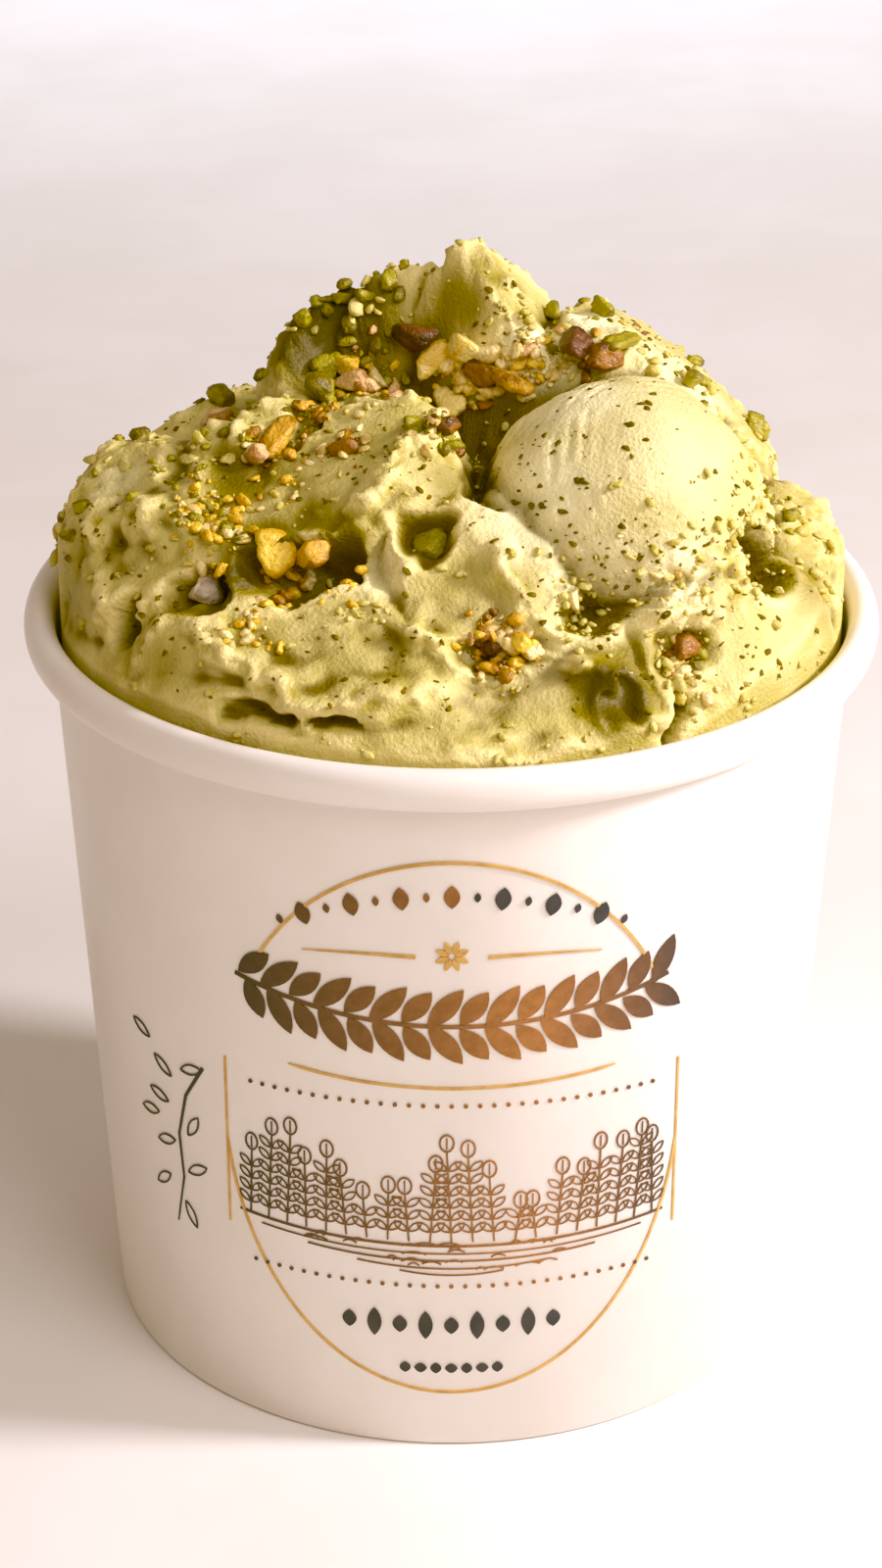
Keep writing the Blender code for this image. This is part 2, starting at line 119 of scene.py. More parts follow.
def new_group(name, inputs, outputs):
    """A shader node group; inputs are (name, type, default), outputs are (name, type)."""
    group = bpy.data.node_groups.new(name, "ShaderNodeTree")
    for title, kind, default in inputs:
        socket = group.interface.new_socket(title, in_out="INPUT", socket_type=kind)
        socket.default_value = default
    for title, kind in outputs:
        group.interface.new_socket(title, in_out="OUTPUT", socket_type=kind)
    return group, group.nodes.new("NodeGroupInput"), group.nodes.new("NodeGroupOutput")


def place_group(tree, group, **inputs):
    """Places a node group among a material's nodes, with its own values."""
    made = tree.nodes.new("ShaderNodeGroup")
    made.node_tree = group
    for name, value in inputs.items():
        made.inputs[name].default_value = value
    return made


def mixed(tree, factor, first, second, blend="MIX"):
    """The colour between two colours; each may be a value or a socket."""
    inputs = {0: factor, 6: first, 7: second}
    return add_node(tree, "ShaderNodeMix", inputs, data_type="RGBA", blend_type=blend).outputs[2]


def ramped(tree, value, low, high):
    """A value stretched so that low gives 0 and high gives 1, and held between them."""
    inputs = {"Value": value, "From Min": low, "From Max": high}
    return add_node(tree, "ShaderNodeMapRange", inputs).outputs["Result"]


def clouds(tree, size, detail, roughness=0.5):
    """Noise from 0 to 1 fixed to the object, in clouds of a size."""
    place = add_node(tree, "ShaderNodeTexCoord").outputs["Object"]
    scale = add_node(tree, "ShaderNodeMath", {0: 1.0, 1: size}, operation="DIVIDE").outputs[0]
    inputs = {"Vector": place, "Scale": scale, "Detail": detail, "Roughness": roughness}
    return add_node(tree, "ShaderNodeTexNoise", inputs).outputs["Fac"]


# %% The grain group: fine relief of any size
FLOAT, COLOUR = "NodeSocketFloat", "NodeSocketColor"
knobs = [("Size", FLOAT, 0.5 * MM), ("Detail", FLOAT, 3.0)]
grain, start, end = new_group("grain", knobs, [("Height", FLOAT)])
grain.links.new(clouds(grain, start.outputs["Size"], start.outputs["Detail"]), end.inputs["Height"])


def grained(tree, size, detail, depth, strength):
    """A normal bent by fine grain of a size and a depth."""
    height = place_group(tree, grain, Size=size, Detail=detail).outputs["Height"]
    inputs = {"Height": height, "Distance": depth, "Strength": strength}
    return add_node(tree, "ShaderNodeBump", inputs).outputs[0]


print("group", grain.name, "with", len(grain.nodes), "nodes")

# %% The mottle group: two colours in soft clouds
knobs = [("Size", FLOAT, 5 * MM), ("First", COLOUR, (1, 1, 1, 1)), ("Second", COLOUR, (0, 0, 0, 1))]
mottle, start, end = new_group("mottle", knobs, [("Colour", COLOUR)])
edges = {"Value": clouds(mottle, start.outputs["Size"], 3.0, 0.6), "From Min": 0.35, "From Max": 0.65}
soft = add_node(mottle, "ShaderNodeMapRange", edges, interpolation_type="SMOOTHSTEP").outputs[0]
mottle.links.new(mixed(mottle, soft, start.outputs["First"], start.outputs["Second"]), end.inputs["Colour"])


def mottled(tree, size, first, second):
    """The colour of soft clouds of a size in two colours."""
    placed = place_group(tree, mottle, Size=size, First=(*first, 1), Second=(*second, 1))
    return placed.outputs["Colour"]


print("group", mottle.name, "with", len(mottle.nodes), "nodes")

# %% [markdown]
# ## Light and table
#
# A small warm key light high on the right rakes over the heap, so that each torn edge glows and the left
# sides of the scoops fall into shade. A wider, weaker fill from the front right opens that shade. A cool
# light at the back looks away from the tub, at the table behind it, so it brightens the table and never
# reaches the heap. The room glows faintly, warmer from below. The table is a plain pale plane, and isn't part
# of the object.

# %% Light the room
# Lights in mm: name, place, watts, width, colour, and the point that one looks at.
LIGHTS = (
    ("key", (530, -90, 400), 4.5, 110, (1.0, 0.95, 0.90), (0, 0, 80)),
    ("back", (0, 800, 600), 5.4, 700, (0.84, 0.94, 1.0), (0, 1400, 0)),
    ("fill", (260, -400, 560), 1.9, 400, (1.0, 0.93, 0.86), (0, 0, 80)),
)
ROOM_GLOW = 0.43
ROOM_LOW = (1.0, 0.70, 0.46, 1)
ROOM_HIGH = (1.0, 0.84, 0.72, 1)
for name, place, watts, width, colour, target in LIGHTS:
    lamp = bpy.data.objects.new(name, bpy.data.lights.new(name, "AREA"))
    lamp.data.shape = "DISK"
    lamp.data.energy = watts
    lamp.data.size = width * MM
    lamp.data.color = colour
    aimed(lamp, [c * MM for c in place], [c * MM for c in target])

world = bpy.data.worlds.new("room")
world.use_nodes = True
sky = world.node_tree
place = add_node(sky, "ShaderNodeTexCoord")
split = add_node(sky, "ShaderNodeSeparateXYZ", {0: place.outputs["Generated"]})
tone = mixed(sky, ramped(sky, split.outputs["Z"], 0.1, 0.9), ROOM_LOW, ROOM_HIGH)
sky.links.new(tone, sky.nodes["Background"].inputs["Color"])
sky.nodes["Background"].inputs["Strength"].default_value = ROOM_GLOW
bpy.context.scene.world = world

# Plain tones, but blue is cut at both ends: its faintest values sink, which keeps the shade yellow, and its
# highest ones reach white, which keeps the highlights from turning cream.
view = bpy.context.scene.view_settings
view.view_transform = "Standard"
view.use_curve_mapping = True
view.curve_mapping.black_level = (0, 0, 0.03)
view.curve_mapping.white_level = (1.0, 1.0, 0.90)
view.curve_mapping.update()
print("lights:", ", ".join(light[0] for light in LIGHTS))

# %% Lay the table
TABLE_SIDE = 6
bpy.ops.mesh.primitive_plane_add(size=TABLE_SIDE)
table = bpy.context.object
table.name = "table"
plaster, tree, shader = new_material("pale_plaster", Roughness=0.85)
tone = mottled(tree, 60 * MM, (0.82, 0.79, 0.75), (0.86, 0.83, 0.8))
tree.links.new(tone, shader.inputs["Base Color"])
table.data.materials.append(plaster)
print("table:", TABLE_SIDE, "m square")

# %% [markdown]
# ## The paper tub
#
# A real tub is wound from one fan of coated paperboard: its edges overlap in a glued seam, its top is curled
# outwards into a rolled rim and its lower edge is folded in round the base. Rolling and folding keep the
# board's thickness, so the shape is drawn as the middle line of the board, turned about Z, and then given its
# thickness.

# %% Sizes of the tub
TUB_HEIGHT = 92 * MM
RIM_DIAMETER = 100 * MM
WALL_TOP_RADIUS = 46.9 * MM
WALL_FOOT_RADIUS = 41.7 * MM
BOARD = 0.5 * MM
ROLL_HEIGHT = 4.9 * MM
ROLL_WIDTH = 3.6 * MM
HEM_HEIGHT = 5 * MM
BASE_HEIGHT = 6.2 * MM
# Between folded layers of board, and between the wall and the ice cream.
FOLD_GAP = 0.3 * MM
SIDE_GAP = 0.5 * MM
WALL_STEPS = 192


def wall_radius(height):
    """Radius of the middle of the wall's board at a height above the table."""
    share = height / (TUB_HEIGHT - ROLL_HEIGHT)
    return WALL_FOOT_RADIUS + (WALL_TOP_RADIUS - WALL_FOOT_RADIUS) * share - BOARD / 2


def inner_radius(height):
    """Radius of the wall's inner face."""
    return wall_radius(height) - BOARD / 2


def rim_curl(points=31):
    """Middle line of the board in the rolled rim, from its hidden end over the top to the wall."""
    reach = ((ROLL_WIDTH - BOARD) / 2, (ROLL_HEIGHT - BOARD) / 2)
    middle = (RIM_DIAMETER / 2 - ROLL_WIDTH / 2, TUB_HEIGHT - ROLL_HEIGHT / 2)
    for angle in np.linspace(-2 * math.pi / 3, math.pi, points):
        yield middle[0] + reach[0] * math.cos(angle), middle[1] + reach[1] * math.sin(angle)


def foot_fold():
    """Middle line of the board where it turns under the foot and up inside as a hem."""
    outer = wall_radius(0)
    hem = outer - 2 * BOARD - 2 * FOLD_GAP
    return [(outer, BOARD), (outer - BOARD / 2, BOARD / 2), (hem + BOARD / 2, BOARD / 2), (hem, BOARD),
            (hem, HEM_HEIGHT)]


# %% Turn the wall
def object_of(bm, name, finish):
    """An object with a mesh's faces and one finish; the mesh being built is used up."""
    mesh = bpy.data.meshes.new(name)
    bm.to_mesh(mesh)
    bm.free()
    mesh.materials.append(finish)
    made = bpy.data.objects.new(name, mesh)
    bpy.context.scene.collection.objects.link(made)
    return made


def bake_modifiers(thing):
    """Bakes an object's modifiers into its mesh."""
    graph = bpy.context.evaluated_depsgraph_get()
    baked = bpy.data.meshes.new_from_object(thing.evaluated_get(graph))
    thing.modifiers.clear()
    thing.data = baked


coated, tree, shader = new_material("coated_board", Roughness=0.42, Coat_Weight=0.25, Coat_Roughness=0.3)
tone = mottled(tree, 14 * MM, (0.86, 0.80, 0.73), (0.88, 0.83, 0.77))
tree.links.new(tone, shader.inputs["Base Color"])
tree.links.new(grained(tree, 0.7 * MM, 4, 0.03 * MM, 0.5), shader.inputs["Normal"])

bm = bmesh.new()
corners = [bm.verts.new((radius, 0, height)) for radius, height in list(rim_curl()) + foot_fold()]
for first, second in zip(corners, corners[1:]):
    bm.edges.new((first, second))
wall = object_of(bm, "paper_wall", coated)
turn = wall.modifiers.new("turn", "SCREW")
turn.steps = turn.render_steps = WALL_STEPS
turn.use_merge_vertices = True
turn.merge_threshold = 0.01 * MM
board = wall.modifiers.new("board", "SOLIDIFY")
board.thickness = BOARD
board.offset = 0
board.use_even_offset = True
board.use_quality_normals = True
bake_modifiers(wall)
wall.data.shade_smooth()
wall.data.set_sharp_from_angle(angle=math.radians(50))
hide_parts("tub_wall")
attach(wall, "root")
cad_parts["tub_base"].material_slots[0].material = coated
print("paper wall:", len(wall.data.polygons), "faces")

# %% [markdown]
# ## The heap of ice cream
#
# Ice cream that is filled by spatula keeps the marks of the tool: round scoops, flat faces where the blade
# slid, torn edges where it broke away. Sculpting it by hand couldn't be repeated, so the heap is a rule
# instead. From one point inside it, the heart, each direction meets the outermost of a set of named scoops,
# whose paddled faces are slices of large spheres. Hollows and strokes are then added, and noise makes their
# edges wander and tear.

# %% Name the scoops
HEART = Vector((0, 0, 84 * MM))
SEED = 15
noise.seed_set(SEED)
# A paddled face is a slice of a sphere of this radius in mm, and is torn for this far along its edges.
FACE_ROUNDING = 60
RAG_REACH = 1.5 * MM

# Scoops in mm and degrees: name, centre, radii, heading, how torn the bare scoop is from 0 to 1, and the
# paddle's faces, each as the direction that it looks in and its distance from the scoop's centre.
SCOOPS = (
    ("core", (0, 0, 84), (48.5, 48.5, 24), 0, 0.4, ()),
    ("ball", (19.5, -11, 104.5), (16.6, 16.6, 16.6), 0, 0.06, ()),
    ("right_back", (19, 8, 100), (18.5, 17, 24), 0, 0.5,
     (((0.2, 0.1, 0.95), 22), ((0.7, 0.1, 0.7), 18))),
    ("right_edge", (35, -1, 94), (11.5, 15, 11.8), 0, 0.9, ()),
    ("right_front", (28, -20, 89), (18, 19, 16), 0, 0.3, (((0.5, -0.6, 0.6), 13.2),)),
    ("peak", (5.5, 8, 111), (11.5, 10, 21.5), 0, 0.9,
     (((-0.5, -0.85, 0.15), 6.5), ((0.8, -0.3, 0.52), 10))),
    ("peak_shoulder", (-3, 10, 109), (13, 8, 20), 0, 0.6, (((0.25, -0.95, 0.2), 4.5),)),
    ("left_back", (-10.5, 10, 105.5), (13, 10, 19.6), 0, 0.6, (((0.25, -0.92, 0.3), 6.5),)),
    ("left_lobe", (-19, -5, 95), (25, 24, 23.5), 0, 0.35,
     (((-0.3, -0.36, 0.9), 18.4), ((-0.4, 0.3, 0.86), 19.3))),
    ("left_shoulder", (-33.5, -3, 98), (12, 13, 13.6), 0, 0.5, (((-0.5, -0.3, 0.8), 12),)),
    ("lobe_top", (-8, -9, 102), (14, 14, 17), 0, 0.45, (((-0.3, -0.36, 0.9), 13.6),)),
    ("left_flank", (-28, -8, 92), (18.5, 20, 18), 0, 0.3,
     (((-0.8, -0.5, 0.33), 14.5), ((-0.5, -0.8, 0.2), 13.5))),
    ("front_left", (-15, -24, 90), (22, 19, 15), -12, 0.4,
     (((-0.15, -0.6, 0.8), 13.8), ((-0.4, -0.85, 0.3), 15))),
    ("front_foot", (-8, -31, 86), (28, 12.5, 9), 0, 0.3, ()),
    ("saddle", (3, -16, 96), (15, 20, 16), 0, 0.25, (((0, -0.65, 0.76), 15.5),)),
    ("front_right", (10, -28, 88), (18, 15, 13), 0, 0.4, (((0.1, -0.5, 0.86), 11),)),
    ("back_left", (-23, 22, 93.5), (20, 18, 14.5), 0, 0.4, (((-0.45, 0.6, 0.66), 12.5),)),
    ("back_right", (21, 25, 95), (20, 17, 16), 0, 0.4, (((0.4, 0.7, 0.6), 13),)),
    ("back_foot", (0, 33, 90), (22, 12, 11), 0, 0.4, ()),
)
print(len(SCOOPS), "scoops")

# %% Name the hollows and the strokes
# Hollows in mm that the paddle dug: name, centre, radii, and how deep.
HOLLOWS = (
    ("left_back_bowl", (-9, 0.5, 124), (13, 8.5, 9), 9),
    ("peak_bowl", (2, -2, 126), (8, 7, 9), 6),
    ("green_pocket", (-2.6, -24, 109), (4.4, 4.2, 5), 5.5),
    ("gold_pocket", (-17.5, -25.5, 106.2), (9, 4.4, 3.8), 8),
    ("grey_pocket", (-28.5, -25, 101.5), (4.2, 4, 3.6), 5),
    ("right_hole", (34.5, -19, 102.5), (3.2, 4.5, 5), 9),
    ("brown_pocket", (25, -33, 98), (4, 3, 2.4), 2.6),
    ("right_notch", (24.5, -36, 92.5), (1.8, 4, 4.5), 4),
    ("front_scoop", (8.5, -41, 96), (10, 8, 6), 2.6),
    ("ball_foot", (15.6, -29.6, 101.4), (4.2, 3, 2.6), 4.2),
    ("scoop_end", (18.5, -40, 95.5), (3.2, 4, 3.4), 2.5),
    ("crumb_pit", (4.6, -36, 101), (6, 4, 2.6), 3),
)

# Strokes in mm: name, the points that one runs through, how wide it is, and how high it stands; a groove's
# height is below 0.
STROKES = (
    ("lobe_ridge", ((-36, -14, 107), (-29, -20, 107.5), (-22, -23, 108.5), (-13, -24, 108)), 3.4, 2.4),
    ("lobe_edge", ((-1, -12, 118), (-8, -17, 114.5), (-10, -23, 109)), 3, 1.8),
    ("front_ridge", ((-27, -30, 100), (-23, -34, 99.5), (-14, -41, 95.5), (-4, -41, 97.5)), 3, 2.4),
    ("front_crack", ((-26, -37.5, 92.5), (-21, -40, 93.5), (-15.5, -42.3, 94), (-10, -43, 94.8),
                     (-7.5, -43.4, 96), (-3.3, -41.7, 97.4)), 1.4, -2.8),
    ("saddle_edge", ((-8, -23, 109), (-7, -31, 105), (-2, -34, 101.5), (1, -36, 101.5)), 2.6, 2),
    ("ball_lip", ((4, -18, 109), (5, -28, 106.5), (10, -32, 103), (19, -32, 101), (28, -29, 101)), 2.6, 2),
    ("throat", ((4, 0, 113), (3, -12, 112), (3, -18, 112)), 2.8, -5),
    ("ball_groove", ((33, 3, 114), (35, -11, 110), (33, -20, 106)), 2.4, -3.5),
    ("left_notch", ((-36, -22, 99), (-37, -22, 89)), 1.8, -4),
    ("step_wall", ((13, -36, 99), (17, -38, 97), (19.5, -40, 92)), 2.6, 2.6),
    ("ragged_lump", ((19, -39, 93), (22, -38, 95)), 2.6, 2.2),
    ("peak_ridge", ((4, 12, 130), (8, 7, 125), (11, 3, 121)), 3, 1.6),
    ("nut_crack", ((-22, -13, 113), (-19, -8, 115), (-13, 2, 114)), 2.2, -2.5),
    ("crack_ridge", ((-25, -8, 112.5), (-21, -3, 114), (-17, 3, 115)), 2.6, 2),
    ("lobe_fold", ((-27, -3, 113), (-29, -13, 109)), 3, 1.4),
    ("shoulder_ridge", ((-38, 2, 108), (-40, -12, 105), (-38, -20, 100)), 3, 1.2),
    ("back_groove", ((-30, 20, 104), (-6, 32, 103), (14, 36, 98)), 2.4, -3),
    ("back_ridge", ((26, 10, 112), (30, 24, 104), (20, 36, 98)), 3, 2),
)
print(len(HOLLOWS), "hollows and", len(STROKES), "strokes")


# %% Measure the heap in any direction
# How far in mm the marks' outlines stray, how far the scoops' do as a share of their distance, and a stroke's
# profile: how much its foot and its crest exceed the table, and the power that it tapers by.
STRAY = 1.3
WARP = 0.05
SPLAY = 1.2
TAPER = 1.5


def ray_exit(directions, centre, radii, heading=0.0):
    """Distance from the heart at which each direction leaves an ellipsoid, or 0 where it misses."""
    turn = np.array(Matrix.Rotation(math.radians(heading), 3, "Z"))
    scale = 1 / (np.array(radii) * MM)
    start = (np.array(HEART) - np.array(centre) * MM) @ turn * scale
    along = directions @ turn * scale
    a = (along**2).sum(1)
    b = along @ start
    root = b * b - a * (start @ start - 1)
    return np.where(root > 0, (-b + np.sqrt(np.maximum(root, 0))) / a, 0)


def scoop_surface(directions, centre, radii, heading, rag, faces):
    """(distance from the heart to a scoop, how torn it is in each direction)."""
    reach = ray_exit(directions, centre, radii, heading)
    torn = np.full(len(directions), float(rag))
    for looks, offset in faces:
        outward = np.array(looks) / np.linalg.norm(looks)
        middle = np.array(centre) + outward * (offset - FACE_ROUNDING)
        flat = ray_exit(directions, middle, (FACE_ROUNDING,) * 3)
        away = np.abs(reach - flat) / RAG_REACH
        torn = np.where(flat < reach, 0, torn) + np.exp(-away) * rag
        reach = np.minimum(reach, flat)
    return reach, np.minimum(torn, 1)


def heap_surface(directions):
    """(distance from the heart to the bare heap in each direction, how torn it is there from 0 to 1)."""
    best = np.zeros(len(directions))
    second = np.zeros(len(directions))
    torn = np.zeros(len(directions))
    for _name, *scoop in SCOOPS:
        reach, rough = scoop_surface(directions, *scoop)
        higher = reach > best
        second = np.where(higher, best, np.maximum(second, reach))
        torn = np.where(higher, rough, torn)
        best = np.where(higher, reach, best)
    return best, np.maximum(torn, 0.7 * np.exp(-(best - second) / RAG_REACH))


def astray(points):
    """The points in mm, moved about so that the marks on the heap have ragged outlines."""
    return points / MM + STRAY * np.array([noise.noise_vector(Vector(p) / (3.2 * MM)) for p in points])


def dug(points):
    """How deep the hollows are at points of the bare heap."""
    depth = np.zeros(len(points))
    strayed = astray(points)
    for _name, centre, radii, deep in HOLLOWS:
        away = ((strayed - np.array(centre)) / np.array(radii)) ** 2
        depth = np.maximum(depth, deep * MM * np.clip(1 - away.sum(1), 0, 1) ** 0.8)
    return depth


def raised(points):
    """How far the strokes lift the bare heap, or lower it, at points of it."""
    height = np.zeros(len(points))
    strayed = astray(points)
    for _name, path, width, stands in STROKES:
        path = np.array(path, dtype=float)
        nearest = np.full(len(points), np.inf)
        for start, end in zip(path, path[1:]):
            leg = end - start
            share = np.clip((strayed - start) @ leg / (leg @ leg), 0, 1)
            away = np.linalg.norm(strayed - start - share[:, None] * leg, axis=1)
            nearest = np.minimum(nearest, away)
        bump = SPLAY * stands * MM * np.clip(1 - nearest / width / SPLAY, 0, 1) ** TAPER
        height = np.where(np.abs(bump) > np.abs(height), bump, height)
    return height


def wander(directions):
    """The directions, nudged about so that no scoop keeps the outline of an ellipsoid."""
    nudged = []
    for direction in map(Vector, directions):
        coarse, fine = noise.noise_vector(direction * 4), noise.noise_vector(direction * 13)
        nudged.append(direction + WARP * coarse + WARP * 0.2 * fine)
    nudged = np.array(nudged)
    return nudged / np.linalg.norm(nudged, axis=1)[:, None]


def lumpy(point, torn):
    """How far in metres the ice cream swells out or in at a point of the surface."""
    swell = noise.fractal(point / (13 * MM), 1.0, 2.0, 2)
    lumps = noise.noise(point / (2.6 * MM))
    return (0.35 * swell + torn * 0.9 * lumps) * MM


# %% [markdown]
# ## Casting the surface
#
# A ball of triangles of one size, cut at its equator, gives the directions, so that the detail is as fine on
# the peak as on the flanks. Under the heart the ice cream is hidden in the tub, and a plain plug fills it.

# %% Cast the heap
HEAP_DETAIL = 8


def heap_points(directions):
    """(points of the heap's surface, how torn it is at each)."""
    nudged = wander(directions)
    distance, torn = heap_surface(nudged)
    points = np.array(HEART) + nudged * distance[:, None]
    hollow = dug(points)
    distance = distance - hollow
    torn = np.maximum(torn, 0.8 * np.exp(-np.abs(hollow / MM - 1.5)) * (hollow > 0))
    points = np.array(HEART) + nudged * distance[:, None]
    lift = raised(points)
    distance = distance + lift
    torn = np.maximum(torn, np.abs(lift) / MM / 2)
    points = np.array(HEART) + directions * distance[:, None]
    distance = distance + np.array([lumpy(Vector(p), t) for p, t in zip(points, torn)])
    flat = np.linalg.norm(directions[:, :2], axis=1)
    side = inner_radius(HEART.z) - SIDE_GAP
    distance = np.minimum(distance, side / np.maximum(flat, 1e-6))
    return np.array(HEART) + directions * distance[:, None], np.clip(torn, 0, 1)


def cut_ball(detail):
    """The upper half of a ball of even triangles."""
    bm = bmesh.new()
    bmesh.ops.create_icosphere(bm, subdivisions=detail, radius=1)
    everything = bm.verts[:] + bm.edges[:] + bm.faces[:]
    bmesh.ops.bisect_plane(bm, geom=everything, plane_co=(0, 0, 0), plane_no=(0, 0, 1), clear_inner=True)
    return bm


bm = cut_ball(HEAP_DETAIL)
directions = np.array([v.co for v in bm.verts])
directions /= np.linalg.norm(directions, axis=1)[:, None]
points, torn = heap_points(directions)
for vert, point in zip(bm.verts, points):
    vert.co = point
print("heap:", len(points), "points, peak at", round(points[:, 2].max() / MM, 1), "mm")

# %% [markdown]
# ## Torn edges
#
# Ice cream is dense and cold, so it breaks instead of flowing: a fresh edge is a crust of small curds, while
# the faces that the paddle pressed stay smooth. The heap knows where it is torn, from its scoops and strokes
# and from a few named spots. There it gets fine relief from noise, pushed out along the surface's own
# normals. The round scoop has faint scrape marks besides. The mesh keeps what it measures, such as crests and
# pits, for its material.

# %% Find where the surface tears
def spread(values, pairs, rounds):
    """Values of the points, each averaged with its neighbours again and again."""
    count = np.bincount(pairs.ravel(), minlength=len(values))
    for _round in range(rounds):
        total = np.bincount(pairs[:, 0], values[pairs[:, 1]], len(values))
        total += np.bincount(pairs[:, 1], values[pairs[:, 0]], len(values))
        values = 0.3 * values + 0.7 * total / count
    return values


def spotted(points, spots):
    """How strong the strongest spot is at each point of the surface; 0 where none reaches."""
    share = np.zeros(len(points))
    for middle, reach, strength in spots:
        away = np.linalg.norm(points / MM - np.array(middle), axis=1) / reach
        share = np.maximum(share, strength * np.clip(1.6 - 1.6 * away, 0, 1))
    return share


# Spots in mm where the ice cream has gone to rubble: the middle, how far it reaches, and how strong it is.
RUBBLE = (
    ((9, -26, 104), 5, 0.7), ((13, -28, 103.5), 5, 1), ((25, -28, 103), 7, 1), ((32, -23, 105), 7, 1),
    ((37, -12, 106), 8, 1), ((24, 4, 120), 8, 0.8), ((8, 3, 127), 6, 1), ((10.5, 1.8, 119.8), 5, 1),
    ((-1, -14, 116.5), 5, 0.9), ((-17, 12, 123), 4, 0.6), ((-40, -6, 106), 7, 0.7),
    ((-25, -30, 100), 5, 0.7), ((5, -35, 98), 6, 0.8), ((30, -36, 93), 5, 0.6),
)
pairs = np.array([(edge.verts[0].index, edge.verts[1].index) for edge in bm.edges])
height = np.array([(vert.co - HEART).length for vert in bm.verts])
ridge = (height - spread(height, pairs, 50)) / MM / 0.5
torn = torn * np.clip(0.3 + ridge, 0.15, 1)
torn = np.maximum(torn, spotted(points, RUBBLE))
print("torn:", round((torn > 0.5).mean(), 2), "of the points")

# %% Tear the surface finely
def crumble(point, torn):
    """Fine relief in metres: small peaks where the surface is torn, next to nothing where it is smooth."""
    clumps = noise.noise(point / (6 * MM)) * 0.6 + 0.75
    peaks = 0.45 - noise.turbulence(point / (2.3 * MM), 3, True)
    curds = 0.45 - noise.voronoi(point / (2.2 * MM))[0][0]
    return (torn * clumps * (peaks * 1.4 + curds * 1.2) + 0.05 * noise.noise(point / (1.2 * MM))) * MM


# The round scoop's middle and radius, the pole that its scrape marks ring, and their spacing and depth.
BALL_MIDDLE = Vector((19.5, -11, 104.5)) * MM
BALL_RADIUS = 16.6 * MM
MARK_POLE = Vector((0.45, -0.55, 0.70))
MARK_STEP = 1.9 * MM
MARK_DEPTH = 0.3 * MM


def scraped(point):
    """How deep in metres the scrape marks are: broken grooves in rings round a pole of the ball."""
    arm = point - BALL_MIDDLE
    on_ball = max(0, 1 - abs(arm.length - BALL_RADIUS) / (1.2 * MM))
    away = arm.angle(MARK_POLE) * BALL_RADIUS
    ring = 0.5 + 0.5 * math.cos(2 * math.pi * (away / MARK_STEP + 0.8 * noise.noise(point / (7 * MM))))
    broken = min(1, max(0, 3 * noise.noise(point / (2.6 * MM)) + 0.4))
    outer = min(1, away / (14 * MM))
    return MARK_DEPTH * on_ball * outer * broken * ring ** 5


mesh = bpy.data.meshes.new("rough")
bm.to_mesh(mesh)
normals = np.zeros(len(points) * 3, dtype=np.float32)
mesh.vertex_normals.foreach_get("vector", normals)
normals = normals.reshape(-1, 3)
relief = np.array([crumble(Vector(p), t) - scraped(Vector(p)) for p, t in zip(points, torn)])
inside = np.hypot(points[:, 0], points[:, 1]) < inner_radius(HEART.z) - SIDE_GAP - 0.4 * MM
bm.verts.ensure_lookup_table()
for vert, point, normal, lift, free in zip(bm.verts, points, normals, relief, inside):
    if free and point[2] > HEART.z + 2 * MM:
        vert.co = Vector(point + normal * lift)
print("relief:", [round(v / MM, 2) for v in (relief.min(), relief.max())], "mm")

# %% Find the hollows and the crests
# Spots in mm as above. The first table is painted shade: it darkens spots where shade falls, above 1 the more
# so. The second table is painted light: it makes spots paler where light falls.
PAINTED_SHADE_SPOTS = (
    ((-13.5, 10.8, 121), 10, 2.8), ((-17.5, 8, 118.5), 6, 2), ((1, 7.5, 125), 6, 1), ((4, 8, 129), 4, 1),
    ((-2, 7, 121), 5, 1), ((4.5, -1, 112.5), 6, 2.4), ((-0.5, -17, 112.5), 4.5, 0.8),
    ((-3, -20.5, 106.5), 5, 1), ((-12, -23.3, 108), 5, 1.5), ((-21, -23.2, 106.6), 6, 2.2),
    ((-15.3, -20.5, 109.3), 4, 1.2), ((35, -17, 100.8), 5, 2.4), ((24.6, -30.5, 97.5), 3, 1.2),
    ((15.6, -29.6, 100.9), 3.8, 2.2), ((-23.2, -24.2, 104), 4, 2), ((1.5, -27, 104), 5, 0.5),
    ((17.8, -38.5, 96.3), 6.5, 2.4), ((20, -34, 99), 3, 1.3), ((-42.5, -12, 98), 8, 0.6),
    ((41, -15, 100.5), 8, 1), ((-23.5, -12, 111.7), 6, 1.7), ((-31, -30, 95), 5, 0.5),
    ((-30, -25, 100.5), 3.5, 1.4), ((-36.5, -24.2, 95), 4, 0.8), ((-0.5, -43, 94), 4, 0.6),
    ((-7, -42, 98), 4, 0.8), ((8, -29, 105), 4, 0.6),
)
# Painted light: the ice cream is painted paler at these spots.
PAINTED_LIGHT_SPOTS = (
    ((10, -22, 112), 11, 1), ((16, -27, 105), 9, 0.9), ((14, -12, 120), 9, 0.9), ((24, -27, 105), 7, 0.8),
    ((10.5, 1.8, 120), 6, 1.2), ((26, 2, 117), 10, 0.7), ((16, 6, 123), 6, 1), ((10, -8, 118.3), 7, 1),
    ((-8.5, -26, 105.5), 5, 0.8), ((19, -16, 117), 16, 0.45), ((-38, -7, 108.3), 5, 0.5),
    ((8, -34, 99), 8, 0.3),
)
height = np.array([(vert.co - HEART).length for vert in bm.verts])
# How far a point stands above its near neighbours. The material paints raised crests paler as a painted
# highlight, and sunk creases darker as painted shade.
crest = np.clip((height - spread(height, pairs, 20)) / MM / 0.4, -1, 1)
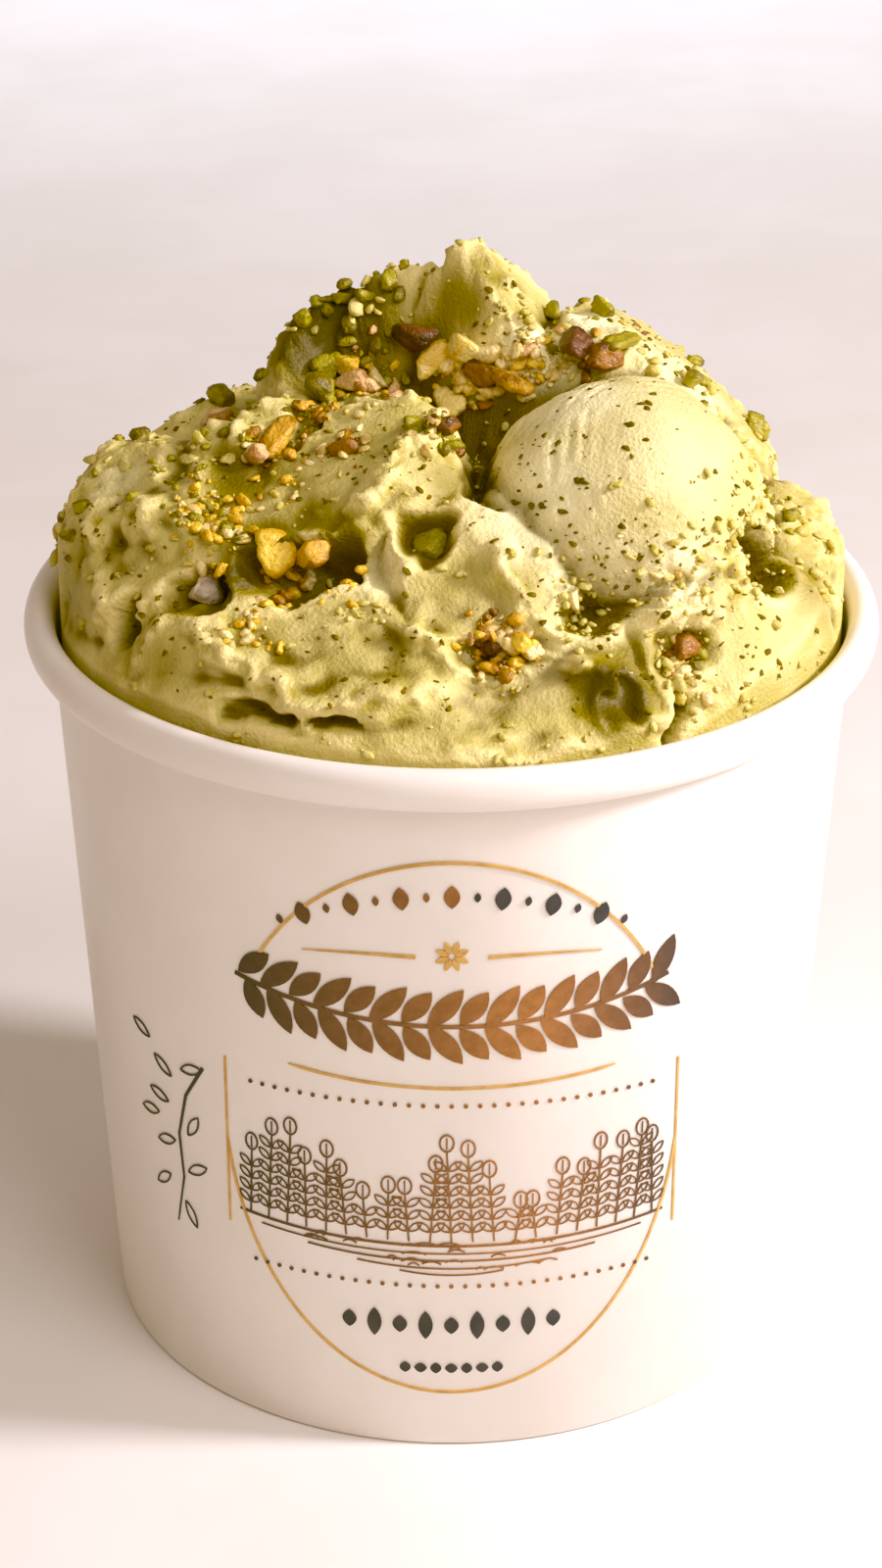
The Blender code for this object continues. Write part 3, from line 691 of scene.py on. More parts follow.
# How far a point sinks below a wide average; the material paints such pits darker as painted shade.
pit_shade = np.clip((spread(height, pairs, 300) - height) / MM / 2.5, 0, 1)
painted_shade = spotted(points, PAINTED_SHADE_SPOTS)
# Painted shade fades on torn edges, unless it is stronger than 1.
painted_shade = painted_shade * (1 - 0.6 * torn * np.clip(2 - painted_shade, 0, 1))
layers = {"torn": torn, "crest": crest, "pit_shade": pit_shade, "painted_shade": painted_shade, "painted_light": spotted(points, PAINTED_LIGHT_SPOTS)}
for name, values in layers.items():
    layer = bm.verts.layers.float.new(name)
    for vert, value in zip(bm.verts, values):
        vert[layer] = value
print("crests:", round((crest > 0.5).mean(), 2), "of the points; pits:", round((pit_shade > 0.5).mean(), 2))

# %% Close the heap with a plug
FLOOR = BASE_HEIGHT + BOARD + FOLD_GAP
rim = [vert for vert in bm.verts if vert.is_boundary]
rim.sort(key=lambda vert: math.atan2(vert.co.y, vert.co.x))
foot = []
for vert in rim:
    around = Vector((vert.co.x, vert.co.y, 0)).normalized()
    foot.append(bm.verts.new(around * (inner_radius(FLOOR) - SIDE_GAP) + Vector((0, 0, FLOOR)), vert))
for index, vert in enumerate(rim):
    bm.faces.new((vert, foot[index], foot[index - 1], rim[index - 1]))
bm.faces.new(foot)
bmesh.ops.recalc_face_normals(bm, faces=bm.faces)
print("plug:", len(rim), "sides down to", round(FLOOR / MM, 1), "mm")

# %% [markdown]
# ## The finish of the ice cream
#
# Pistachio ice cream isn't one green. Pressed faces are even and pale, and torn edges catch the light. Over
# these colours the material paints light and shade: crests get a painted highlight, creases and pits painted
# shade, and listed spots painted shade or painted light. Painting this by hand would fix it to one shape.
# Here each point of the mesh carries how torn, raised or sunk it is and how much painted shade or light it
# gets, and the material reads those measures and lays one colour over another.

# %% Colour the ice cream by its measures
def measured(tree, name):
    """A value that the mesh's own points carry."""
    return add_node(tree, "ShaderNodeAttribute", attribute_name=name).outputs["Fac"]


gelato_finish, tree, shader = new_material(
    "pistachio_gelato", Roughness=0.5, Subsurface_Weight=0.1, Subsurface_Radius=(1.0, 0.7, 0.25),
    Subsurface_Scale=1.5 * MM)
smooth_tone = mottled(tree, 7 * MM, (0.58, 0.49, 0.15), (0.66, 0.56, 0.21))
torn_tone = mottled(tree, 2 * MM, (0.66, 0.57, 0.20), (0.50, 0.39, 0.05))
tone = mixed(tree, ramped(tree, measured(tree, "torn"), 0.15, 0.8), smooth_tone, torn_tone)

# Painted light and shade, laid over the plain colours in turn: the measure, where it sets in, where it is
# full, and the colour. A raised crest gets a painted highlight, a sunk one and the pits get painted shade,
# and the spots of the two tables above get painted shade and painted light.
PAINTED_LIGHT_AND_SHADE = (
    ("crest", 0.2, 1, (0.82, 0.69, 0.29, 1)),
    ("crest", -0.15, -1, (0.19, 0.125, 0.006, 1)),
    ("painted_light", 0, 1, (0.96, 0.87, 0.50, 1)),
    ("painted_shade", 0, 1, (0.27, 0.20, 0.006, 1)),
    ("painted_shade", 1, 2, (0.12, 0.08, 0.003, 1)),
    ("pit_shade", 0, 1, (0.17, 0.11, 0.004, 1)),
)
for measure, low, high, colour in PAINTED_LIGHT_AND_SHADE:
    tone = mixed(tree, ramped(tree, measured(tree, measure), low, high), tone, colour)
tree.links.new(tone, shader.inputs["Base Color"])
tree.links.new(grained(tree, 0.45 * MM, 5, 0.3 * MM, 0.8), shader.inputs["Normal"])

gelato = object_of(bm, "gelato_skin", gelato_finish)
gelato.data.shade_smooth()
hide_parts("gelato")
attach(gelato, "root")
print("gelato_skin", len(gelato.data.polygons), "faces")


def topping(bm, name, finish):
    """Makes a piece that lies on the ice cream and belongs to it."""
    made = object_of(bm, name, finish)
    made.data.shade_smooth()
    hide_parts("gelato")
    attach(made, "root")
    print(name, len(made.data.polygons), "faces")


# %% [markdown]
# ## Chopped pistachios
#
# A pistachio kernel is green inside and wears a thin purple skin; roasted pieces turn gold and brown.
# Chopping leaves lumps with several flat cuts, so each piece is a small ball cut by planes drawn at random,
# and its skin stays on the round parts between the cuts. A piece lies on the heap at the point nearest to its
# named place, pressed in by about a fifth of its height. Pieces of one kind share one mesh.

# %% Name the nuts
# Chopped nuts in mm and degrees: name, kind, place, length, width and height, heading and tilt.
NUTS = (
    ("peak_foot", "purple", (-3.6, 7.6, 119.8), (6.4, 5.2, 5), 20, 10),
    ("band_rose", "rose", (-11.5, 4.8, 114.8), (5.2, 4.8, 4.4), 0, 0),
    ("band_stick", "cream", (-8.6, 6, 115.6), (6.4, 2.8, 2.8), -35, 15),
    ("band_green", "green", (-15.9, 2.8, 115.2), (5.4, 4.4, 4), 30, 0),
    ("band_leaf", "green", (-14.3, 7.4, 116.4), (4.6, 3.6, 3.6), -20, 0),
    ("band_bead", "gold", (-12, 6.8, 116.9), (3.6, 3, 3), -30, 0),
    ("shell_left", "butter", (-2, 6, 117.4), (7.2, 3.4, 3.8), 65, 10),
    ("shell_top", "butter", (1.2, 4.8, 119.6), (6.4, 3.2, 3.6), -5, -15),
    ("shell_foot", "butter", (0.4, 4.2, 113.6), (5.6, 3.8, 3.6), -30, 0),
    ("flake_dark", "rust", (3.9, 2.6, 117.4), (5.4, 3.4, 3), -15, 10),
    ("flake_amber", "amber", (7.4, 1, 117), (7.4, 3.4, 3), -30, 0),
    ("flake_pale", "cream", (4.4, 3.4, 119.6), (3.4, 2.6, 2.4), 30, 0),
    ("back_brown", "purple", (14.3, 0.6, 120.9), (6.8, 5, 4.6), -15, 0),
    ("back_rust", "rust", (17.3, -1.2, 120.1), (5.4, 4.4, 3.8), 25, 0),
    ("back_green", "green", (18.9, 0.6, 121.7), (6, 3.6, 3.6), -25, 0),
    ("nub_a", "green", (-27.7, 20.4, 107.7), (3.8, 3.2, 3), 0, 0),
    ("nub_b", "green", (-17.1, 10.1, 121.3), (2.8, 2.4, 2.4), 40, 0),
    ("nub_c", "green", (-12.8, 12.2, 123.1), (3, 2.6, 2.4), 10, 0),
    ("nub_d", "green", (-7.4, 10.8, 125.8), (3, 2.6, 2.6), 70, 0),
    ("nub_e", "green", (11.6, 11, 121.8), (3.4, 3, 2.8), 20, 0),
    ("nub_f", "green", (17.1, 9.4, 122.7), (3.8, 3, 3), 60, 0),
    ("nub_g", "green", (27.2, 0.2, 117.1), (3.4, 2.8, 2.8), -40, 0),
    ("crack_long", "amber", (-19.4, -7.9, 113.4), (7, 3.6, 3.4), 52, 5),
    ("crack_bead", "rose", (-21.9, -10.5, 112.3), (3.8, 3, 2.8), 20, 0),
    ("crack_dark", "rust", (-12.1, -13.4, 114.4), (3.8, 2.8, 2.4), 40, 0),
    ("patch_dark", "rust", (-0.9, -12.9, 117), (3.8, 3, 2.8), -20, 0),
    ("patch_green", "green", (-4.4, -13.6, 117), (3.4, 2.8, 2.6), 50, 0),
    ("pocket_gold", "gold", (-18.8, -22, 105.4), (6, 5.4, 6), 35, 10),
    ("pocket_amber", "amber", (-15.6, -21.8, 105.8), (5.4, 5, 5.8), -20, -10),
    ("pocket_cream", "cream", (-15.2, -22.6, 102.4), (3.2, 2.8, 2.6), 0, 0),
    ("pocket_grey", "ash", (-27.7, -21.7, 100), (5, 4.6, 4.4), 0, 0),
    ("pocket_green", "green", (-2.6, -20.5, 105.4), (5, 4.4, 4.2), 15, 0),
    ("ball_pale", "cream", (14.4, -29.4, 103.4), (3, 2.6, 2.2), 0, 0),
    ("pit_dark", "rust", (4.7, -32.4, 98.9), (3.2, 2.6, 2.4), 30, 0),
    ("pit_rose", "gold", (7.4, -33.4, 99.8), (2.8, 2.4, 2.2), -30, 0),
    ("pit_cream", "cream", (8.9, -34, 99), (2.6, 2.2, 2), 0, 0),
    ("low_dark", "rust", (24.6, -30.4, 97.1), (4.6, 3.8, 3.4), 0, 0),
    ("back_gold", "gold", (-12, 26, 108), (6.4, 5, 4.6), 70, 0),
    ("back_leaf", "green", (9, 24, 113), (5.6, 4, 4), -20, 0),
    ("back_purple", "purple", (26, 20, 106), (5, 4.2, 3.8), 10, 0),
    ("back_rose", "rose", (-28, 16, 102), (4.6, 4, 3.6), 45, 0),
    ("back_long", "amber", (-20, 24, 107), (7, 3.8, 3.4), 20, 5),
    ("back_dark", "rust", (-4, 30, 105), (5.2, 3.8, 3.4), -35, 0),
    ("back_cream", "cream", (4, 20, 115), (5, 3.6, 3.2), 60, 0),
    ("back_pair", "green", (-8, 21, 113), (5, 4.2, 3.8), 15, 0),
    ("back_low", "gold", (20, 28, 102), (5.4, 4, 3.8), -50, 5),
    ("back_side", "green", (33, 8, 107), (4.6, 3.6, 3.4), 75, 0),
    ("left_side", "amber", (-36, 6, 106), (5.4, 3.6, 3.4), -65, 0),
)
NUT_SINK = 0.22
# Before it is stretched to size, a nut is a ball of radius one half. Its cuts lie between two distances from
# its middle, and a higher power makes the edges between them sharper.
CUT_NEAR, CUT_FAR = 0.14, 0.46
SHARP = 30
print(len(NUTS), "nuts")

# %% Chop and lay the nuts
def nut_lump(size, draw, detail, cuts=7):
    """A chopped nut about its own middle: a ball with flat cuts. Its points keep how much skin is left."""
    bm = bmesh.new()
    bmesh.ops.create_icosphere(bm, subdivisions=detail, radius=1)
    skin = bm.verts.layers.float.new("skin")
    seed = Vector((draw.uniform(0, 90), draw.uniform(0, 90), 0))
    planes = [Vector([draw.gauss(0, 1) for _axis in range(3)]).normalized() / draw.uniform(CUT_NEAR, CUT_FAR)
              for _cut in range(cuts)]
    ball = 2 ** SHARP
    for vert in bm.verts:
        cut = sum(max(vert.co.dot(plane), 0) ** SHARP for plane in planes)
        vert[skin] = ball / (ball + cut)
        vert.co *= (ball + cut) ** (-1 / SHARP)
        vert.co *= 1 + 0.2 * noise.noise(vert.co * 4 + seed) + 0.08 * noise.noise(vert.co * 12 + seed)
        vert.co = Vector(c * s * MM for c, s in zip(vert.co, size))
    return bm


heap = BVHTree.FromObject(gelato, bpy.context.evaluated_depsgraph_get())


def lie_on(point, heading, tilt, lift):
    """The place of a piece that rests on the heap nearest to a point, with its middle lifted by a length."""
    found, normal = heap.find_nearest(point)[:2]
    outward = (normal + Vector((0, 0, 1))).normalized()
    stand = outward.to_track_quat("Z", "Y").to_matrix().to_4x4()
    turn = Euler((math.radians(tilt), 0, math.radians(heading))).to_matrix().to_4x4()
    return Matrix.Translation(found + outward * lift) @ stand @ turn


def add_to(bm, lump, matrix):
    """Moves a lump into place and joins it to a larger mesh."""
    mesh = bpy.data.meshes.new("lump")
    lump.to_mesh(mesh)
    lump.free()
    mesh.transform(matrix)
    bm.from_mesh(mesh)
    bpy.data.meshes.remove(mesh)


# Kind: the flesh's colour and the skin's colour.
KINDS = {
    "green": ((0.40, 0.34, 0.025), (0.15, 0.10, 0.006)),
    "butter": ((0.93, 0.76, 0.30), (0.74, 0.48, 0.08)),
    "gold": ((0.86, 0.60, 0.08), (0.60, 0.32, 0.02)),
    "cream": ((0.92, 0.76, 0.36), (0.66, 0.45, 0.13)),
    "rose": ((0.80, 0.52, 0.24), (0.32, 0.13, 0.03)),
    "amber": ((0.74, 0.42, 0.05), (0.26, 0.10, 0.005)),
    "rust": ((0.34, 0.14, 0.025), (0.08, 0.02, 0.002)),
    "purple": ((0.17, 0.055, 0.025), (0.035, 0.009, 0.004)),
    "ash": ((0.92, 0.80, 0.62), (0.46, 0.36, 0.28)),
}


def blended(first, second, share):
    """The colour that lies a share of the way from one colour to another."""
    return [a + (b - a) * share for a, b in zip(first, second)]


def nut_material(kind):
    """Flesh on the cuts and skin on the rest, with a faint oily sheen and a fine grain."""
    flesh, skin = KINDS[kind]
    made, tree, shader = new_material("nut_" + kind, Roughness=0.32)
    cut_tone = mottled(tree, 1.4 * MM, flesh, blended(flesh, skin, 1 / 3))
    skin_tone = mottled(tree, 0.8 * MM, skin, blended(flesh, skin, 3 / 4))
    tone = mixed(tree, ramped(tree, measured(tree, "skin"), 0.3, 0.8), cut_tone, skin_tone)
    tree.links.new(tone, shader.inputs["Base Color"])
    tree.links.new(grained(tree, 0.6 * MM, 4, 0.5 * MM, 0.8), shader.inputs["Normal"])
    return made


NUT_SEED = 11
draw = random.Random(NUT_SEED)
nut_finishes = {kind: nut_material(kind) for kind in KINDS}
piles = {kind: bmesh.new() for kind in KINDS}
for _name, kind, point, size, heading, tilt in NUTS:
    place = lie_on(Vector(point) * MM, heading, tilt, size[2] * (0.5 - NUT_SINK) * MM)
    add_to(piles[kind], nut_lump(size, draw, 3), place)
for kind, pile in piles.items():
    topping(pile, "nuts_" + kind, nut_finishes[kind])

# %% [markdown]
# ## Crumbs, specks and curds
#
# The smallest bits are scattered by rule: a table says where each kind lies thick, and seeded draws place the
# bits round those points. Crumbs are chopped nut, specks are flakes of dark skin that were churned in, and
# curds are beads of ice cream that stand on the torn edges. Each bit is real mesh at its true size, partly
# sunk in the surface.

# %% Name the clusters of crumbs
# In mm: the kinds, the middle of a cluster, how far it spreads, how many crumbs, and their mean size. A curd
# is a crumb of the ice cream itself.
CRUMBS = (
    ("gold gold cream green", (-27, -18.4, 108.2), 4.5, 120, 1.1),
    ("gold green", (-27.3, -13.5, 110.9), 4, 24, 0.8),
    ("gold cream", (-17.9, -15, 110.9), 2.5, 16, 0.9),
    ("green amber", (-15.2, -4, 115.3), 3.5, 40, 1.2),
    ("green curd", (-29, -9, 111.5), 6, 40, 1.1),
    ("rust amber cream", (-12, -12, 114.5), 3.5, 44, 1.0),
    ("amber cream rust", (-20, -9, 113.2), 3, 40, 1.2),
    ("rust cream green", (-1.5, -13, 117), 3.5, 70, 1.2),
    ("cream cream rose gold", (9, 1.5, 119.5), 4, 44, 1.3),
    ("curd cream curd", (11.5, 1.5, 120), 4, 80, 1.0),
    ("butter cream", (2, 4, 117), 3.5, 60, 1.7),
    ("rust curd", (5, 0, 114), 3, 20, 1.2),
    ("gold green rose", (-10, 5.5, 116), 4.5, 60, 1.4),
    ("rust amber", (16, 0, 121), 3.5, 14, 1.1),
    ("rose amber gold cream", (5.5, -33.6, 99.2), 3.4, 110, 1.2),
    ("rust rust amber", (4.5, -31.5, 100.5), 2.5, 30, 1.3),
    ("gold cream", (-22, -31, 100), 3.5, 36, 1.0),
    ("gold", (-12, -27, 104), 3, 24, 0.9),
    ("amber gold", (-17, -24, 103), 3.5, 24, 1.1),
    ("cream curd", (24.6, -33, 95.5), 2.4, 50, 1.2),
    ("green rust", (24.6, -31, 97.5), 2.6, 24, 1.1),
    ("curd green", (-13, 10, 123.5), 6, 22, 1.4),
    ("curd green", (-6, 10, 127), 4, 14, 1.3),
    ("curd curd curd green", (16, 8, 122), 6, 16, 1.2),
    ("curd curd green", (28, 2, 116), 6, 22, 1.3),
    ("curd curd green", (37, -6, 106), 7, 20, 1.3),
    ("curd", (42, -10, 99), 5, 20, 1.2),
    ("curd green", (-42, -4, 102), 6, 24, 1.3),
    ("curd green", (-34, 4, 108), 7, 20, 1.4),
    ("curd", (8, 2, 127), 4, 40, 0.8),
    ("curd", (14, -28, 103), 5, 60, 0.8),
    ("curd cream", (24, -28, 103), 6, 80, 0.8),
    ("curd", (33, -20, 106), 6, 60, 0.8),
    ("gold cream green", (0, 24, 110), 13, 110, 1.4),
    ("rust amber rose", (14, 24, 108), 14, 60, 1.4),
    ("green curd", (-16, 26, 104), 16, 80, 1.4),
)
# In mm: the middle of a part of the heap, how far its specks spread, and how many there are.
SPECKS = (
    ((9.5, -19, 112.5), 8, 50), ((14, -24, 109), 9, 44), ((22, -27, 106), 8, 50), ((30, -22, 107), 7, 40),
    ((19, -14, 119), 12, 34), ((16, -29, 102.5), 5, 16), ((36, -16, 104), 6, 24), ((-22, -8, 113), 6, 40),
    ((-8, -16, 114), 6, 40), ((-38, -14, 104), 8, 50), ((-30, -28, 99), 8, 50), ((-8, -36, 98), 12, 60),
    ((14, -36, 97), 10, 40), ((32, -28, 97), 8, 40), ((5, 2, 123), 7, 40), ((24, 6, 118), 10, 60),
    ((0, 30, 104), 26, 160), ((-30, 18, 104), 16, 80),
)
print(sum(row[3] for row in CRUMBS), "crumbs and", sum(row[2] for row in SPECKS), "specks")


# %% Scatter the crumbs and the specks
def on_the_heap(middle, reach):
    """A point of the heap near a middle, drawn at random, or None where that falls too close to the rim."""
    point = heap.find_nearest(Vector([draw.gauss(c, reach / 2) for c in middle]) * MM)[0]
    return point if point.z > TUB_HEIGHT + 1.5 * MM else None


def strew(piles, middle, reach, count, size, shape, lift):
    """Adds small lumps round a middle, each to a pile drawn at random; a shape is shares of the size."""
    for _each in range(count):
        point = on_the_heap(middle, reach)
        large = size * draw.choice((0.4, 0.6, 0.8, 1.0, 1.5))
        lump = nut_lump([large * share for share in shape], draw, 2, 5)
        if point:
            place = lie_on(point, draw.uniform(0, 360), draw.uniform(-25, 25), large * lift * MM)
            add_to(draw.choice(piles), lump, place)


crumbs = {kind: bmesh.new() for kind in (*KINDS, "curd")}
for kinds, middle, reach, count, size in CRUMBS:
    strew([crumbs[kind] for kind in kinds.split()], middle, reach, count, size, (1.4, 1, 0.8), 0.15)
curds = crumbs.pop("curd")
for kind, bm in crumbs.items():
    if bm.verts:
        topping(bm, "crumbs_" + kind, nut_finishes[kind])

SPECK_SIZE = 0.75
speck_finish, tree, shader = new_material("dark_skin", Roughness=0.75, Specular_IOR_Level=0.2)
tone = mottled(tree, 0.8 * MM, (0.11, 0.07, 0.004), (0.20, 0.14, 0.01))
tree.links.new(tone, shader.inputs["Base Color"])
bm = bmesh.new()
for middle, reach, count in SPECKS:
    strew([bm], middle, reach, count, SPECK_SIZE, (1.3, 0.8, 0.3), 0.02)
topping(bm, "specks", speck_finish)

# %% Bead the torn edges with curds
CURDS = 900
ripe = np.flatnonzero((torn > 0.6) & (crest > 0.15) & (points[:, 2] > TUB_HEIGHT + 3 * MM))
for _each in range(CURDS):
    vert = gelato.data.vertices[int(draw.choice(ripe))]
    large = draw.choice((0.3, 0.4, 0.5, 0.7, 1.0))
    lump = nut_lump((large * 1.6, large, large * 0.8), draw, 2, 5)
    add_to(curds, lump, lie_on(vert.co, draw.uniform(0, 360), draw.uniform(-30, 30), large * 0.1 * MM))
# Curds count as fully torn and a little raised, so they get some of the crest's painted highlight.
for name, value in (("torn", 1.0), ("crest", 0.3)):
    layer = curds.verts.layers.float.new(name)
    for vert in curds.verts:
        vert[layer] = value
topping(curds, "gelato_curds", gelato_finish)

# %% [markdown]
# ## Thin pieces that follow the wall
#
# The glued overlap at the back and the ink on the front are thinner than the board, yet each is real mesh: a
# closed strip or tile. Cutting them out of the wall would leave its mesh a tangle. So each mark is drawn
# flat, in millimetres across the front and above the table, and then bent round the wall, where a distance
# across becomes an angle.

# %% Wrap marks round the wall
INK = 0.05 * MM


def on_wall(across, height, proud):
    """A point of the wall's outside, from millimetres across its front and above the table."""
    radius = wall_radius(height * MM) + BOARD / 2
    angle = across * MM / radius
    radius += proud
    return Vector((radius * math.sin(angle), -radius * math.cos(angle), height * MM))


def tube(bm, rings):
    """Joins rings of points, each to the next, and closes both ends."""
    sides = len(rings[0])
    for near, far in zip(rings, rings[1:]):
        for turn in range(sides):
            after = (turn + 1) % sides
            bm.faces.new((near[turn], near[after], far[after], far[turn]))
    bm.faces.new(rings[0][::-1])
    bm.faces.new(rings[-1])


def strip(bm, path, width):
    """A printed line along a path of (across, height); the width is one number, or one for each point."""
    path = [Vector(point) for point in path]
    widths = width if isinstance(width, list) else [width] * len(path)
    rings = []
    for index, (point, wide) in enumerate(zip(path, widths)):
        ahead = path[min(index + 1, len(path) - 1)] - path[max(index - 1, 0)]
        side = Vector((-ahead.y, ahead.x)).normalized() * wide / 2
        corners = ((point - side, INK), (point + side, INK), (point + side, -INK), (point - side, -INK))
        rings.append([bm.verts.new(on_wall(corner.x, corner.y, proud)) for corner, proud in corners])
    tube(bm, rings)


def tile(bm, outline):
    """A printed shape inside an outline of (across, height)."""
    middle = sum((Vector(point) for point in outline), Vector((0, 0))) / len(outline)
    rings = []
    for proud, step in ((INK * 1.3, 1), (-INK, -1)):
        ring = [bm.verts.new(on_wall(*point, proud)) for point in outline]
        centre = bm.verts.new(on_wall(*middle, proud))
        for first, second in zip(ring, ring[1:] + ring[:1]):
            bm.faces.new((centre, first, second)[::step])
        rings.append(ring)
    upper, lower = rings
    for index in range(len(outline)):
        after = (index + 1) % len(outline)
        bm.faces.new((upper[after], upper[index], lower[index], lower[after]))


def curve(start, end, rise, count=25):
    """Points of an arch between two points of one height, risen by its middle; a negative rise sags."""
    for share in np.linspace(0, 1, count):
        across = start[0] + (end[0] - start[0]) * share
        yield across, start[1] + (end[1] - start[1]) * share + rise * (1 - (2 * share - 1) ** 2)


def leaf(centre, length, width, angle, count=9):
    """Outline of a leaf with two points, turned by an angle in degrees."""
    lean = Matrix.Rotation(math.radians(angle), 2)
    side = [(-length / 2 + length * t, width / 2 * math.sin(math.pi * t) ** 0.8)
            for t in np.linspace(0, 1, count)]
    outline = side + [(x, -y) for x, y in side[-2:0:-1]]
    return [Vector(centre) + lean @ Vector(point) for point in outline]


def oval(centre, half_width, half_height, start=0, end=360, count=60):
    """Points of an oval, or of its part between two angles in degrees."""
    for turn in np.radians(np.linspace(start, end, count)):
        yield centre[0] + half_width * math.cos(turn), centre[1] + half_height * math.sin(turn)


def wall_piece(bm, name, finish):
    """Makes a thin piece that lies on the wall and belongs to it."""
    made = object_of(bm, name, finish)
    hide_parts("tub_wall")
    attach(made, "root")
    print(name, len(made.data.polygons), "faces")


# %% Glue the seam at the back
SEAM_WIDTH, SEAM_PROUD = 8, 0.25 * MM
bm = bmesh.new()
rings = []
for height in np.linspace(2.5, TUB_HEIGHT / MM - 6, 30):
    half_round = math.pi * wall_radius(height * MM) / MM
    ring = []
    for across in np.linspace(-SEAM_WIDTH / 2, SEAM_WIDTH / 2, 7):
        proud = SEAM_PROUD if across < SEAM_WIDTH / 2 - 1 else INK
        ring.append(bm.verts.new(on_wall(half_round + across, height, proud)))
    for across in (SEAM_WIDTH / 2, -SEAM_WIDTH / 2):
        ring.append(bm.verts.new(on_wall(half_round + across, height, -INK)))
    rings.append(ring)
tube(bm, rings)
bmesh.ops.recalc_face_normals(bm, faces=bm.faces)
wall_piece(bm, "wall_seam", coated)

# %% [markdown]
# ## The printed badge
#
# The badge is a plain ornament without words: a thin gold oval, a leafy garland across it in brown that warms
# to copper in the middle, rules, beads and a small rosette, a frieze of plants in fine line, and a few leaves
# in black. Each ink is one mesh with one finish, because a printer lays one ink at a time.

# %% Draw the gold parts of the badge
BADGE_MIDDLE, BADGE_HALF_WIDTH, BADGE_HALF_HEIGHT = (0, 43.9), 27.8, 36


def pointed(width, count=25):
    """Widths along a line that comes to a point at both ends."""
    return [0.1] + [width] * (count - 2) + [0.1]


gold_print = bmesh.new()
for start, end in ((32, 148), (187, 353)):
    around = oval(BADGE_MIDDLE, BADGE_HALF_WIDTH, BADGE_HALF_HEIGHT, start, end, 90)
    strip(gold_print, around, pointed(0.38, 90))
for side in (-1, 1):
    tapering = [0.45 - 0.015 * step for step in range(25)]
    strip(gold_print, curve((side * 4, 67.8), (side * 17, 67.2), 0.3), tapering)
    strip(gold_print, curve((side * 27.5, 50), (side * 27.6, 27), 0), 0.28)
for petal in range(8):
    lean = 22.5 + 45 * petal
    place = Vector((0, 68)) + Matrix.Rotation(math.radians(lean), 2) @ Vector((1.15, 0))
    tile(gold_print, leaf(place, 1.7, 0.75, lean))
strip(gold_print, curve((-19, 51.6), (19, 51.6), -1), pointed(0.34))
print("gold ink:", len(gold_print.faces), "faces")

# %% Draw the garland
brown_print = bmesh.new()
stem = list(curve((-25.6, 62), (25.6, 62), -3.2, 33))
strip(brown_print, stem, 0.5)
for index, (across, height) in enumerate(stem[1:-1:2]):
    lean = 14 * across / 25
    for side in (-1, 1):
        long = 6.4 if index % 2 else 5.2
        reach = Vector((0.9, side * 2.35))
        tile(brown_print, leaf((across + reach.x, height + reach.y), long, 2.5, lean + side * 52))
print("garland:", len(brown_print.faces), "faces")

# %% Draw the frieze of plants
FRIEZE_SEED = 5
draw = random.Random(FRIEZE_SEED)
for across in np.arange(-24.5, 24.6, 2.45):
    tall = 8 + 3 * math.cos(across / 3.1) + draw.uniform(-1.5, 2.5)
    lean = draw.uniform(-0.8, 0.8)
    strip(brown_print, curve((across, 29.5), (across + lean, 29.5 + tall), 0, 7), 0.2)
    for step in np.arange(1.5, tall - 1, 1.7):
        for side in (-1, 1):
            place = (across + lean * step / tall + side * 0.85, 30 + step)
            outline = leaf(place, 1.9, 0.85, side * 42 + 90 * (1 - side))
            strip(brown_print, outline + outline[:1], 0.15)
    strip(brown_print, oval((across + lean, 30.6 + tall), 0.8, 1.15, count=14), 0.2)
    strip(brown_print, curve((across + lean, 29.8 + tall), (across + lean, 31.3 + tall), 0, 5), 0.16)

# The ground that the plants stand on: rules, tufts, and a beaded rule above and below.
GROUND = ((29.4, 26, 0.3), (28.3, 23, 0.16), (27.3, 17, 0.2), (26.2, 11, 0.16), (25.3, 6, 0.16))
for low, half, width in GROUND:
    strip(brown_print, curve((-half, low), (half, low), -0.5), width)
for _tuft in range(34):
    across, low = draw.uniform(-18, 18), draw.uniform(25.5, 29)
    if abs(across) < (low - 22) * 3:
        strip(brown_print, curve((across, low), (across + draw.uniform(1, 3), low), 0.35, 7), 0.15)
for low in (48.2, 23.2):
    for across in np.arange(-24, 24.1, 1.6):
        tile(brown_print, list(oval((across, low - 0.4 * (across / 24) ** 2), 0.26, 0.26, 0, 324, 10)))
print("garland and frieze:", len(brown_print.faces), "faces")

# %% Draw the black marks
black_print = bmesh.new()
